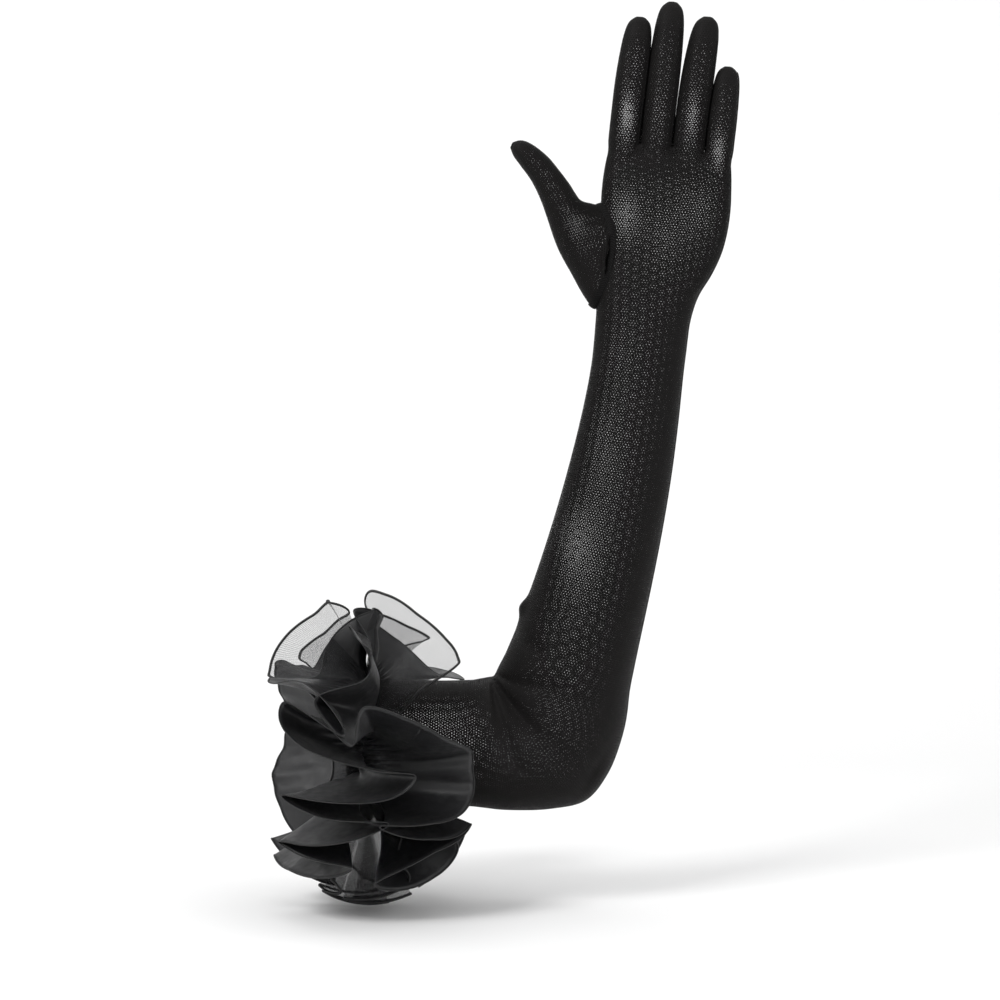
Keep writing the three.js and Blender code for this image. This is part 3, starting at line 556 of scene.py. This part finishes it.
def attribute(obj, name, values):
    layer = obj.data.attributes.new(name, "FLOAT", "POINT")
    layer.data.foreach_set("value", np.asarray(values, np.float32).ravel())


def grid_faces(rows, columns, closed_rows=False, closed_columns=True, first=0):
    """Quads over a grid of points, kept row after row."""
    faces = []
    for row in range(rows if closed_rows else rows - 1):
        low = first + row * columns
        high = first + (row + 1) % rows * columns
        for column in range(columns if closed_columns else columns - 1):
            beside = (column + 1) % columns
            faces.append((low + column, low + beside, high + beside, high + column))
    return faces


def capped_faces(rows, columns, first=0):
    start = tuple(range(first + columns - 1, first - 1, -1))
    last = first + (rows - 1) * columns
    return grid_faces(rows, columns, first=first) + [start, tuple(range(last, last + columns))]


def applied(obj):
    """The object with its modifiers made part of its mesh."""
    evaluated = obj.evaluated_get(bpy.context.evaluated_depsgraph_get())
    mesh = bpy.data.meshes.new_from_object(evaluated)
    obj.modifiers.clear()
    obj.data = mesh
    return obj


def modifier(obj, kind, **settings):
    added = obj.modifiers.new(kind.lower(), kind)
    for name, value in settings.items():
        setattr(added, name, value)


def points_of(obj):
    points = np.empty(len(obj.data.vertices) * 3, np.float32)
    obj.data.vertices.foreach_get("co", points)
    return points.reshape(-1, 3).astype(float)


class Source:
    """The lofts that the shell is made from, each with its places on the flat net."""

    def __init__(self):
        self.points = []
        self.places = []
        self.faces = []
        self.quads = []
        self.count = 0

    def add(self, rings, offsets, along_from=0.0, along=None):
        rows = len(rings)
        across, own_along = cloth_places(rings, offsets)
        along = own_along if along is None else along
        behind = np.sin(np.linspace(0, 2 * math.pi, ROUND_STEPS, endpoint=False))
        behind = np.broadcast_to(behind, across.shape)
        self.faces += capped_faces(rows, ROUND_STEPS, self.count)
        self.quads += grid_faces(rows, ROUND_STEPS, first=self.count)
        self.points.append(rings.reshape(-1, 3))
        self.places.append(np.stack([across, along + along_from, behind], axis=-1).reshape(-1, 3))
        self.count += rows * ROUND_STEPS
        return along[-1, 0] + along_from

    def joined(self):
        return np.concatenate(self.points), np.concatenate(self.places)


def outer_runs(rings):
    """Length along the sleeve, measured between its middle and its outer side."""
    line = mix(rings.mean(1), rings[:, 0], 0.5)
    runs = np.linalg.norm(np.diff(line, axis=0), axis=1)
    along = np.concatenate([[0], np.cumsum(runs)])
    return np.repeat(along[:, None], ROUND_STEPS, axis=1)


def glove_source():
    centres, arm = arm_rings()
    wrist = centres[-1]
    source = Source()
    hand_from = source.add(arm, np.zeros(len(arm)), along=outer_runs(arm))
    for rings in [palm_rings(), knuckle_rings(), thumb_rings(), *map(finger_rings, FINGERS)]:
        middles = rings[:, :, 0].mean(1)
        source.add(to_glove(rings, wrist), middles, hand_from + rings[0, :, 2].mean())
    return source, wrist


def flat_places(points, source):
    """Each point's place on the flat net, from the nearest loft."""
    loft_points, places = source.joined()
    tree = BVHTree.FromPolygons([tuple(point) for point in loft_points], source.quads)
    found = np.zeros((len(points), 3))
    for index, point in enumerate(points):
        near, _, quad, _ = tree.find_nearest(Vector(point))
        corners = source.quads[quad]
        weights = interpolate.poly_3d_calc([Vector(loft_points[corner]) for corner in corners], near)
        found[index] = np.average(places[list(corners)], axis=0, weights=weights)
    return found


def gusset_distance(hand_points):
    """Distance to the edge of the nearest strip between two fingers, below 0 inside it."""
    x, y, z = hand_points.T
    nearest = np.full(len(x), 1.0)
    for left, right in zip(FINGERS, FINGERS[1:]):
        shorter = min(left["crotch"] + left["length"], right["crotch"] + right["length"])
        crotch = min(left["crotch"], right["crotch"])
        top = mix(crotch, shorter, FOURCHETTE_REACH)
        half_depth = min(left["width"], right["width"]) * FOURCHETTE_HALF_DEPTH
        axes = [finger_axis(left, z), finger_axis(right, z)]
        outside = [np.abs(y) - half_depth, axes[0] - x, x - axes[1], z - top, crotch - FOURCHETTE_DROP - z]
        nearest = np.minimum(nearest, np.max(outside, axis=0))
    return nearest


def openness(points, hand_points):
    """How wide the net's holes are drawn: 0 at the top hem, up to MOST_OPEN at spots of painted highlight,
    narrower at spots of painted shade and towards the finger and thumb tips.
    """
    x, _, z = points.T
    drawn = np.full(len(points), LEAST_OPEN)
    # Painted highlight and painted shade: each spot opens the holes where more is above 0 and closes them where
    # it is below 0.
    for spot_x, spot_z, wide, high, more in zip(*PAINTED_LIGHT_SPOTS.values()):
        drawn += more * np.exp(-(((x - spot_x) / wide) ** 2) - ((z - spot_z) / high) ** 2)
    drawn = np.minimum(drawn, MOST_OPEN) * smooth_step(HEM_DEPTH, HEM_DEPTH + 0.0004, x)
    hand_x, _, up = hand_points.T
    for finger in FINGERS:
        share = (up - finger["crotch"]) / finger["length"]
        own = np.abs(hand_x - finger_axis(finger, up)) < finger["width"] / 2
        drawn *= 1 - own * 0.75 * smooth_step(0.72, 1, share)
    thumb_out = (THUMB_ROOT_ACROSS * KNUCKLE_WIDTH + HEEL_OFFSET - hand_x) / THUMB_REACH
    return drawn * (1 - 0.75 * smooth_step(0.8, 1, thumb_out) * (up > 0))


def spread(points, wrist, power):
    """Moves the fingers apart, or back again where power is below 0, so that none join."""
    hand_points = to_hand(points, wrist)
    x, y, z = hand_points.T
    factor = (1 + FINGER_SPREAD * smooth_step(0.35 * PALM_LENGTH, 1.02 * PALM_LENGTH, z)) ** power
    return to_glove(np.stack([HEEL_OFFSET + (x - HEEL_OFFSET) * factor, y, z], axis=1), wrist)


def move_points(obj, points):
    obj.data.vertices.foreach_set("co", np.asarray(points, np.float32).ravel())
    obj.data.update()


def weigh(obj, name, weights):
    group = obj.vertex_groups.new(name=name)
    for index in np.flatnonzero(weights > 0.01):
        group.add([int(index)], float(weights[index]), "REPLACE")


def net_shell():
    source, wrist = glove_source()
    points, _ = source.joined()
    shell = new_object("net_shell", spread(points, wrist, 1), source.faces)
    modifier(shell, "REMESH", mode="VOXEL", voxel_size=VOXEL)
    applied(shell)
    move_points(shell, spread(points_of(shell), wrist, -1))
    x, _, z = to_hand(points_of(shell), wrist).T
    web_x, web_z = WEB
    web = np.exp(-((((x - web_x) / 0.009) ** 2 + ((z - web_z) / 0.012) ** 2)))
    feet = np.exp(-(((z - PALM_LENGTH - 0.003) / 0.012) ** 2))
    weigh(shell, "web", np.maximum(web, 0.25 * feet * (np.abs(x - HEEL_OFFSET) < 0.03)))
    weigh(shell, "fingers", smooth_step(1.05 * PALM_LENGTH, 1.11 * PALM_LENGTH, z))
    modifier(shell, "SMOOTH", factor=0.5, iterations=8)
    modifier(shell, "SMOOTH", factor=0.8, iterations=60, vertex_group="web")
    modifier(shell, "DISPLACE", strength=FINGER_FILL, mid_level=0, vertex_group="fingers")
    modifier(shell, "DECIMATE", ratio=min(1, SHELL_FACES / (2 * len(shell.data.polygons))))
    applied(shell)
    open_top(shell)
    points = points_of(shell)
    hand_points = to_hand(points, wrist)
    places = flat_places(points, source)
    attribute(shell, "net_across", places[:, 0])
    attribute(shell, "net_along", places[:, 1])
    attribute(shell, "behind", places[:, 2])
    attribute(shell, "gusset", gusset_distance(hand_points))
    attribute(shell, "drawn", openness(points, hand_points))
    shell.data.shade_smooth()
    return shell, wrist


def open_top(shell):
    """Opens the sleeve at its top hem."""
    mesh = bmesh.new()
    mesh.from_mesh(shell.data)
    everything = mesh.verts[:] + mesh.edges[:] + mesh.faces[:]
    bmesh.ops.bisect_plane(mesh, geom=everything, plane_co=(0, 0, 0), plane_no=(1, 0, 0), clear_inner=True)
    mesh.to_mesh(shell.data)
    mesh.free()


def tube(name, path, normals, half_width, half_height, closed=False, sides=8):
    """A flat-lying seam or hem along a path, with its places along and across."""
    path, normals = np.asarray(path), np.asarray(normals)
    if closed:
        ways = np.roll(path, -1, 0) - np.roll(path, 1, 0)
    else:
        ways = np.gradient(path, axis=0)
    ways /= np.linalg.norm(ways, axis=1, keepdims=True)
    normals = normals - (normals * ways).sum(1, keepdims=True) * ways
    normals /= np.linalg.norm(normals, axis=1, keepdims=True)
    besides = np.cross(ways, normals)
    angles = np.linspace(0, 2 * math.pi, sides, endpoint=False)
    half_width = np.broadcast_to(half_width, len(path))
    wide = half_width[:, None, None] * np.cos(angles)[None, :, None] * besides[:, None, :]
    high = half_height * np.sin(angles)[None, :, None] * normals[:, None, :]
    points = path[:, None, :] + wide + high
    count = len(path)
    faces = grid_faces(count, sides, closed_rows=closed) if closed else capped_faces(count, sides)
    obj = new_object(name, points.reshape(-1, 3), faces)
    runs = np.linalg.norm(np.diff(path, axis=0), axis=1)
    along = np.concatenate([[0], np.cumsum(runs)])
    attribute(obj, "along", np.repeat(along, sides))
    attribute(obj, "across", (half_width[:, None] * np.cos(angles)[None, :]).ravel())
    return obj


# Seams, laid on the shell
def resampled(points, pitch):
    points = np.asarray(points)
    runs = np.concatenate([[0], np.cumsum(np.linalg.norm(np.diff(points, axis=0), axis=1))])
    places = np.linspace(0, runs[-1], max(4, round(runs[-1] / pitch)))
    return np.stack([np.interp(places, runs, points[:, axis]) for axis in range(3)], axis=1)


def eased(points, times, closed=False):
    """Points with their small kinks smoothed out."""
    points = np.asarray(points)
    for _ in range(times):
        middle = (np.roll(points, 1, 0) + 2 * points + np.roll(points, -1, 0)) / 4
        if not closed:
            middle[0], middle[-1] = points[0], points[-1]
        points = middle
    return points


def laid_on(tree, points):
    """The nearest points of the shell, with its normals there."""
    found = [tree.find_nearest(Vector(point))[:2] for point in points]
    return np.array([tuple(spot) for spot, _ in found]), np.array([tuple(normal) for _, normal in found])


def first_hits(tree, starts, way):
    hits = [tree.ray_cast(Vector(start), Vector(way))[0] for start in starts]
    return [tuple(hit) for hit in hits if hit is not None]


def lean_direction(x, y, z):
    return to_glove(np.array([[x, y, z]], float), np.zeros(3))[0]


def thumb_seam(tree, wrist):
    rows = np.arange(len(THUMB_SEAM_LINE["up"]), dtype=float)
    form = {"row": rows, **THUMB_SEAM_LINE}
    at = np.linspace(0, rows[-1], 160)
    x = smooth_value(form, "row", "across", at) * KNUCKLE_WIDTH
    z = smooth_value(form, "row", "up", at) * PALM_LENGTH
    far = PALM_LENGTH
    before = to_glove(np.stack([x, x * 0 - far, z], axis=1), wrist)
    behind = to_glove(np.stack([x, x * 0 + far, z], axis=1), wrist)
    front = first_hits(tree, before, (0, 1, 0))
    back = first_hits(tree, behind, (0, -1, 0))
    loop = np.array(front + back[::-1] + front[:1])
    loop = eased(resampled(loop, 0.0008)[:-1], 12, closed=True)
    spots, normals = laid_on(tree, loop)
    normals = eased(normals, 8, closed=True)
    return tube("thumb_seam_band", spots + normals * 0.0001, normals, THUMB_SEAM_WIDTH / 2, 0.0007, True, 12)


def side_seam(tree, wrist):
    """The closing seam from the top hem, up the outer side, to the little finger's tip."""
    centres, rings = arm_rings()
    sleeve = rings[centres[:, 0] > 0.001, 0]
    little = FINGERS[3]
    up = np.arange(0, little["crotch"] + little["length"] * 0.97, ROW_PITCH)
    starts = to_glove(np.stack([up * 0 + PALM_LENGTH, up * 0, up], axis=1), wrist)
    edge = first_hits(tree, starts, tuple(lean_direction(-1, 0, 0)))
    path = eased(resampled(np.concatenate([sleeve, edge]), 0.0012), 6)
    spots, normals = laid_on(tree, path)
    normals = eased(normals, 10)
    return tube("side_seam_line", spots + normals * 0.0001, normals, SEAM_WIDTH / 2, SEAM_HEIGHT / 2)


def little_finger_seam(tree, wrist):
    little = FINGERS[3]
    share = np.linspace(0, 1, 30)
    x = little["foot"] - little["width"] / 2 + share * (little["width"] + FINGER_GAP)
    z = PALM_LENGTH - SEAM_WIDTH - share * little["width"] / 2
    starts = to_glove(np.stack([x, x * 0 - PALM_LENGTH, z], axis=1), wrist)
    path = eased(resampled(first_hits(tree, starts, (0, 1, 0)), 0.0008), 4)
    spots, normals = laid_on(tree, path)
    return tube("little_finger_seam_line", spots, normals, SEAM_WIDTH / 3, SEAM_HEIGHT / 3)


def finger_seams(tree, wrist):
    """Thin stitched lines along both edges of each strip between two fingers."""
    seams = []
    for left, right in zip(FINGERS, FINGERS[1:]):
        half_depth = min(left["width"], right["width"]) * FOURCHETTE_HALF_DEPTH
        crotch = max(left["crotch"], right["crotch"])
        for side, name in ((-1, "palm"), (1, "back")):
            path = []
            for finger, turn in ((left, 1), (right, -1)):
                top = mix(finger["crotch"], finger["crotch"] + finger["length"], FOURCHETTE_REACH)
                up = np.arange(crotch + 0.001, top, ROW_PITCH)[::-turn]
                edge = finger_axis(finger, up) + turn * finger["width"] * 0.44
                path.append(np.stack([edge, up * 0 + side * half_depth, up], axis=1))
            line = to_glove(resampled(np.concatenate(path), 0.001), wrist)
            spots, normals = laid_on(tree, eased(line, 4))
            normals = eased(normals, 4)
            name = f"fourchette_seam_{left['name']}_{right['name']}_{name}"
            seams.append(tube(name, eased(spots, 2), normals, 0.0004, 0.0003, sides=6))
    return seams


# Ruffle
def round_value(form, column, at):
    """One column of a strip's table, all the way round."""
    wrapped = {}
    for name in ("at", column):
        turn = 360 if name == "at" else 0
        values = form[name]
        wrapped[name] = np.concatenate([values[-2:] - turn, values, values[:2] + turn])
    return smooth_value(wrapped, "at", column, at % 360)


def ripple(at, waves):
    """A steady small waviness round the strip: (waves round it, size, phase in degrees)."""
    return sum(size * np.sin(np.radians(count * at + phase)) for count, size, phase in waves)


def gathers(at):
    """The small gathers that both strips are drawn up in."""
    drift = 60 * np.sin(np.radians(5 * at)) + 45 * np.sin(np.radians(13 * at + 70))
    size = 1 + 0.4 * np.sin(np.radians(17 * at))
    return GATHER_DEPTH * size * np.sin(np.radians(GATHERS * at + drift))


def ruffle_grid(form, width, root_flare, lift, waves, curl):
    """Points of a gathered strip."""
    at = np.linspace(0, 360, RUFFLE_COLUMNS, endpoint=False)
    shares = (np.arange(RUFFLE_ROWS) + 0.5) / RUFFLE_ROWS
    reach = round_value(form, "reach", at)
    root_width = smooth_value(UPPER_FORM, "along", "width", GATHER_FROM_HEM / UPPER_LENGTH) * ARM_WIDTH + lift
    root_depth = ARM_DEPTH + lift
    halves = []
    for side, column in ((-1, "left"), (1, "right")):
        hem_flare = round_value(form, column, at)
        start = root_flare + ROOT_FOLLOW * np.maximum(0, hem_flare - 60)
        flare = mix(start[:, None], hem_flare[:, None], np.minimum(1, shares * HEM_SPRING)[None, :])
        flare = flare + ripple(at, waves)[:, None] * shares[None, :] ** 1.5
        flare = flare + curl * np.sin(np.radians(7 * at + 40 * side))[:, None] * smooth_step(0.7, 1, shares)
        flare = np.radians(flare)
        run = reach * width / 2 / RUFFLE_ROWS
        out = np.cumsum(np.sin(flare), axis=1) * run[:, None]
        along = np.cumsum(np.cos(flare), axis=1) * run[:, None]
        turn = round_value(form, f"{column}_turn", at)[:, None] * shares[None, :] ** 1.5
        angle = np.radians(at[:, None] + turn)
        gather = gathers(at)[:, None] * smooth_step(0, 0.05, shares) * np.maximum(0, 1 - 2.2 * shares) ** 2
        out = out + gather * np.cos(flare)
        along = along - gather * np.sin(flare)
        x = GATHER_FROM_HEM + side * along
        y = -np.cos(angle) * (root_depth / 2 + out)
        z = np.sin(angle) * (root_width / 2 + out)
        halves.append(np.stack([x, y, z], axis=-1))
    angle = np.radians(at)
    root = np.stack(
        [0 * angle + GATHER_FROM_HEM, -np.cos(angle) * root_depth / 2, np.sin(angle) * root_width / 2], axis=-1
    )
    return np.concatenate([halves[0][:, ::-1], root[:, None], halves[1]], axis=1)


def lengths_round(points):
    """Running length along a closed row of points."""
    runs = np.linalg.norm(np.roll(points, -1, 0) - points, axis=1)
    return np.concatenate([[0], np.cumsum(runs)])


def ruffle(name, form, width, root_flare, lift, waves, curl, hem):
    grid = ruffle_grid(form, width, root_flare, lift, waves, curl)
    columns, rows, _ = grid.shape
    faces = grid_faces(columns, rows, closed_rows=True, closed_columns=False)
    obj = new_object(name, grid.reshape(-1, 3), faces)
    middle = lengths_round((grid[:, rows // 4] + grid[:, -rows // 4]) / 2)
    attribute(obj, "cloth_round", np.repeat(middle[:-1], rows))
    attribute(obj, "cloth_over", np.tile(np.linspace(-width / 2, width / 2, rows), columns))
    hems = []
    for side, column, inner in (("shoulder", 0, 1), ("hand", -1, -2)):
        edge = grid[:, column]
        normal = np.cross(np.roll(edge, -1, 0) - np.roll(edge, 1, 0), edge - grid[:, inner])
        hems.append(hem_tube(f"{name}_hem_{side}", edge, normal, hem))
    length = np.mean([lengths_round(grid[:, row])[-1] for row in range(rows)])
    modifier(obj, "SOLIDIFY", thickness=RUFFLE_THICKNESS, offset=0)
    applied(obj)
    return obj, hems, length


def hem_tube(name, edge, normal, thick):
    """Overlocked edge: thread wound round the hem, a little thicker at each turn."""
    closed_edge = np.concatenate([edge, edge[:1]])
    closed_normal = np.concatenate([normal, normal[:1]])
    runs = lengths_round(edge)
    places = np.linspace(0, runs[-1], HEM_POINTS, endpoint=False)
    path = np.stack([np.interp(places, runs, closed_edge[:, axis]) for axis in range(3)], axis=1)
    normals = np.stack([np.interp(places, runs, closed_normal[:, axis]) for axis in range(3)], axis=1)
    turns = 1 + 0.22 * np.sin(np.arange(HEM_POINTS) * 2 * math.pi / 3)
    return tube(name, path, normals, thick / 2 * turns, thick / 2.6, True, 6)


# Materials
class Shader:
    """A material's nodes, made by short calls."""

    def __init__(self, name):
        self.material = bpy.data.materials.new(name)
        self.material.use_nodes = True
        self.nodes = self.material.node_tree.nodes
        self.links = self.material.node_tree.links
        self.surface = self.nodes["Principled BSDF"]

    def add(self, kind, inputs=None, **settings):
        node = self.nodes.new(kind)
        for name, value in settings.items():
            setattr(node, name, value)
        for name, value in (inputs or {}).items():
            self.put(node.inputs[name], value)
        return node

    def put(self, socket, value):
        if isinstance(value, bpy.types.NodeSocket):
            self.links.new(value, socket)
        else:
            socket.default_value = value

    def math(self, operation, *values):
        return self.add("ShaderNodeMath", dict(enumerate(values)), operation=operation).outputs[0]

    def value(self, name):
        return self.add("ShaderNodeAttribute", attribute_name=name).outputs["Fac"]

    def noise(self, scale, detail=2, roughness=0.5, vector=None):
        inputs = {"Scale": scale, "Detail": detail, "Roughness": roughness}
        inputs["Vector"] = vector or self.add("ShaderNodeTexCoord").outputs["Object"]
        return self.add("ShaderNodeTexNoise", inputs).outputs["Fac"]

    def ramp(self, value, low, high, to_low, to_high):
        inputs = {"Value": value, "From Min": low, "From Max": high, "To Min": to_low, "To Max": to_high}
        return self.add("ShaderNodeMapRange", inputs, interpolation_type="SMOOTHSTEP").outputs["Result"]

    def colour(self, share, dark, light):
        inputs = {"Factor": share, "A": (*dark, 1), "B": (*light, 1)}
        node = self.nodes.new("ShaderNodeMix")
        node.data_type = "RGBA"
        sockets = {"Factor": node.inputs[0], "A": node.inputs[6], "B": node.inputs[7]}
        for name, value in inputs.items():
            self.put(sockets[name], value)
        return node.outputs[2]

    def bump(self, height, distance, strength=1.0, normal=None):
        inputs = {"Height": height, "Distance": distance, "Strength": strength}
        if normal is not None:
            inputs["Normal"] = normal
        return self.add("ShaderNodeBump", inputs).outputs["Normal"]

    def finish(self, **inputs):
        for name, value in inputs.items():
            self.put(self.surface.inputs[name.replace("_", " ")], value)
        return self.material


def hole_distance(shader, pitch):
    """Distance to the nearest hole of a staggered net, in shares of its pitch."""
    row_height = 0.86
    behind = shader.math("GREATER_THAN", shader.value("behind"), 0)
    turn = shader.math("MULTIPLY", behind, math.radians(30))
    pitch = shader.math("SUBTRACT", pitch, shader.math("MULTIPLY", behind, 0.00045))
    cosine, sine = shader.math("COSINE", turn), shader.math("SINE", turn)
    x, z = shader.value("net_across"), shader.value("net_along")
    turned_x = shader.math("SUBTRACT", shader.math("MULTIPLY", x, cosine), shader.math("MULTIPLY", z, sine))
    turned_z = shader.math("ADD", shader.math("MULTIPLY", x, sine), shader.math("MULTIPLY", z, cosine))
    across = shader.math("DIVIDE", turned_x, pitch)
    along = shader.math("DIVIDE", shader.math("DIVIDE", turned_z, pitch), row_height)
    shift = shader.math("MULTIPLY", shader.math("FLOORED_MODULO", shader.math("FLOOR", along), 2), 0.5)
    aside = shader.math("SUBTRACT", shader.math("FRACT", shader.math("ADD", across, shift)), 0.5)
    ahead = shader.math("MULTIPLY", shader.math("SUBTRACT", shader.math("FRACT", along), 0.5), row_height)
    square = shader.math("ADD", shader.math("POWER", aside, 2), shader.math("POWER", ahead, 2))
    return shader.math("SQRT", square)


def net_material():
    shader = Shader("net")
    far = hole_distance(shader, 0.00145)
    in_gusset = shader.ramp(shader.value("gusset"), -0.0002, 0.0002, 0.5, 1)
    on_edge = shader.ramp(shader.math("ABSOLUTE", shader.value("gusset")), 0.0004, 0.0006, 0, 1)
    # drawn brings in the spots of painted highlight and painted shade, widening and narrowing the holes.
    size = shader.math("MULTIPLY", shader.value("drawn"), HOLE_RADIUS)
    size = shader.math("MULTIPLY", size, shader.math("MULTIPLY", in_gusset, on_edge))
    edge = shader.math("SUBTRACT", far, size)
    thread = shader.ramp(edge, -0.03, 0.03, HOLE_FILL, 1)
    height = shader.ramp(edge, 0, 0.2, 0, 1)
    shade = shader.noise(900, 3, 0.6)
    base = shader.colour(shade, (0.002, 0.0018, 0.0018), (0.009, 0.008, 0.0078))
    return shader.finish(
        Base_Color=base,
        Roughness=0.6,
        Alpha=thread,
        Normal=shader.bump(height, 0.00015),
        Specular_IOR_Level=0.12,
    )


def seam_material():
    shader = Shader("seam")
    along = shader.value("along")
    across = shader.value("across")
    slant = shader.math("ADD", along, shader.math("MULTIPLY", shader.math("ABSOLUTE", across), 0.7))
    stitch = shader.math("SINE", shader.math("MULTIPLY", slant, 2 * math.pi / 0.0014))
    height = shader.ramp(stitch, -1, 1, 0, 1)
    # Base colour follows the stitch relief, darker in the grooves and lighter on the crests: painted shade and
    # painted highlight on the thread.
    base = shader.colour(height, (0.001, 0.001, 0.001), (0.006, 0.0057, 0.0057))
    return shader.finish(
        Base_Color=base,
        Roughness=0.7,
        Normal=shader.bump(height, 0.0003),
        Specular_IOR_Level=0.12,
    )


def satin_material():
    shader = Shader("satin")
    round_it = shader.value("cloth_round")
    over = shader.value("cloth_over")
    twill = shader.math("SINE", shader.math("MULTIPLY", shader.math("ADD", round_it, over), 2 * math.pi / 0.0006))
    weave = shader.ramp(twill, -1, 1, 0, 1)
    creases = shader.noise(38, 3, 0.5)
    rough = shader.ramp(shader.noise(240, 3), 0.3, 0.7, 0.34, 0.44)
    normal = shader.bump(weave, 0.00004, normal=shader.bump(creases, 0.0022))
    base = shader.colour(shader.noise(14), (0.006, 0.006, 0.0067), (0.012, 0.012, 0.0132))
    return shader.finish(
        Base_Color=base,
        Roughness=rough,
        Normal=normal,
        Specular_IOR_Level=0.5,
        Sheen_Weight=0.04,
        Sheen_Roughness=0.3,
        Anisotropic=0.4,
    )


def organza_material():
    shader = Shader("organza")
    threads = []
    for name in ("cloth_round", "cloth_over"):
        wave = shader.math("PINGPONG", shader.value(name), 0.00025)
        threads.append(shader.ramp(wave, 0.00004, 0.00009, 1, 0))
    woven = shader.math("MAXIMUM", *threads)
    base = shader.colour(shader.noise(1400), (0.008, 0.008, 0.009), (0.03, 0.03, 0.032))
    alpha = shader.math("ADD", shader.math("MULTIPLY", woven, 0.24), ORGANZA_COVER)
    return shader.finish(
        Base_Color=base,
        Roughness=0.45,
        Alpha=alpha,
        Normal=shader.bump(shader.noise(60, 3), 0.0008),
        Specular_IOR_Level=0.3,
        Sheen_Weight=0.03,
    )


def hem_material():
    """Fine shiny thread wound closely round a hem."""
    shader = Shader("hem_thread")
    wound = shader.math("SINE", shader.math("MULTIPLY", shader.value("along"), 2 * math.pi / 0.0009))
    height = shader.ramp(wound, -1, 1, 0, 1)
    # Base colour follows the wound thread's relief, darker between the turns and lighter on them: painted shade
    # and painted highlight.
    base = shader.colour(height, (0.002, 0.002, 0.002), (0.01, 0.01, 0.0105))
    return shader.finish(
        Base_Color=base, Roughness=0.4, Normal=shader.bump(height, 0.0002), Specular_IOR_Level=0.45
    )


def dress(objects, material):
    for obj in objects:
        obj.data.materials.clear()
        obj.data.materials.append(material)
        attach(obj, "root")


# Stage
CAMERA_AIM = (0.0855, 0.1379)
CAMERA_DISTANCE = 1.346
FLOOR = -0.094


def stage():
    """Pale floor that curves up into a backdrop."""
    radius, depth, width, height = 0.5, 0.75, 3.0, 2.6
    turn = np.linspace(0, math.pi / 2, 24)
    profile = [(-2.5, 0)]
    profile += [(depth + radius * math.sin(a), radius - radius * math.cos(a)) for a in turn]
    profile += [(depth + radius, height)]
    points = [(x, y, FLOOR + z) for y, z in profile for x in (-width, width)]
    faces = grid_faces(len(profile), 2, closed_columns=False)
    floor = new_object("studio_floor", points, faces)
    shader = Shader("studio")
    floor.data.materials.append(shader.finish(Base_Color=(0.93, 0.93, 0.93, 1), Roughness=0.9))


def area_light(name, place, size, power):
    light = bpy.data.lights.new(name, "AREA")
    light.shape = "RECTANGLE"
    light.size, light.size_y = size
    light.energy = power
    obj = bpy.data.objects.new(name, light)
    obj.location = place
    aim = Vector((CAMERA_AIM[0], 0, CAMERA_AIM[1])) - Vector(place)
    obj.rotation_euler = aim.to_track_quat("-Z", "Y").to_euler()
    bpy.context.scene.collection.objects.link(obj)


def light_and_camera():
    world = bpy.data.worlds.new("studio")
    world.use_nodes = True
    background = world.node_tree.nodes["Background"]
    background.inputs["Color"].default_value = (1, 1, 1, 1)
    background.inputs["Strength"].default_value = 0.6
    scene = bpy.context.scene
    scene.world = world
    area_light("key", (-0.9, -1.3, 1.3), (0.7, 0.7), 24)
    area_light("fill", (1.3, -1.0, 0.5), (0.8, 1.2), 6)
    area_light("backdrop", (0.2, 0.2, 2.1), (2.6, 1.2), 9)
    camera = bpy.data.cameras.new("camera")
    camera.lens = 85
    camera.sensor_width = 36
    obj = bpy.data.objects.new("camera", camera)
    obj.location = (CAMERA_AIM[0], -CAMERA_DISTANCE, CAMERA_AIM[1])
    obj.rotation_euler = (math.pi / 2, 0, 0)
    scene.collection.objects.link(obj)
    scene.camera = obj
    scene.view_settings.view_transform = "Standard"
    scene.cycles.transparent_max_bounces = 48


def make_glove():
    shell, wrist = net_shell()
    tree = BVHTree.FromObject(shell, bpy.context.evaluated_depsgraph_get())
    round_seam = thumb_seam(tree, wrist)
    outer_seam = side_seam(tree, wrist)
    foot_seam = little_finger_seam(tree, wrist)
    stitched = finger_seams(tree, wrist)
    modifier(shell, "SOLIDIFY", thickness=NET_THICKNESS, offset=-1)
    applied(shell)
    shell.data.shade_smooth()
    dress([shell], net_material())
    dress([round_seam, outer_seam, foot_seam, *stitched], seam_material())
    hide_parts(*SLEEVE_NODES, *PALM_NODES, *FINGER_NODES, *FOURCHETTE_NODES)
    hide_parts("thumb_seam")
    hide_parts("side_seam", "hand_side_seam")
    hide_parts("little_finger_seam")


def make_ruffle():
    waves = [(31, 1.5, 10)]
    satin, satin_hems, satin_length = ruffle(
        "satin_frill", SATIN_FORM, SATIN_WIDTH, SATIN_ROOT_FLARE, SATIN_LIFT, waves, 10, SATIN_HEM
    )
    waves = [(29, 1.5, 50)]
    organza, organza_hems, organza_length = ruffle(
        "organza_frill", ORGANZA_FORM, ORGANZA_WIDTH, ORGANZA_ROOT_FLARE, ORGANZA_LIFT, waves, 10, ORGANZA_HEM
    )
    dress([satin], satin_material())
    dress([organza], organza_material())
    thread = hem_material()
    dress(satin_hems, thread)
    dress(organza_hems, thread)
    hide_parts("satin_ruffle")
    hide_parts("organza_ruffle")


place_fingers()
light_and_camera()
stage()
make_glove()
make_ruffle()
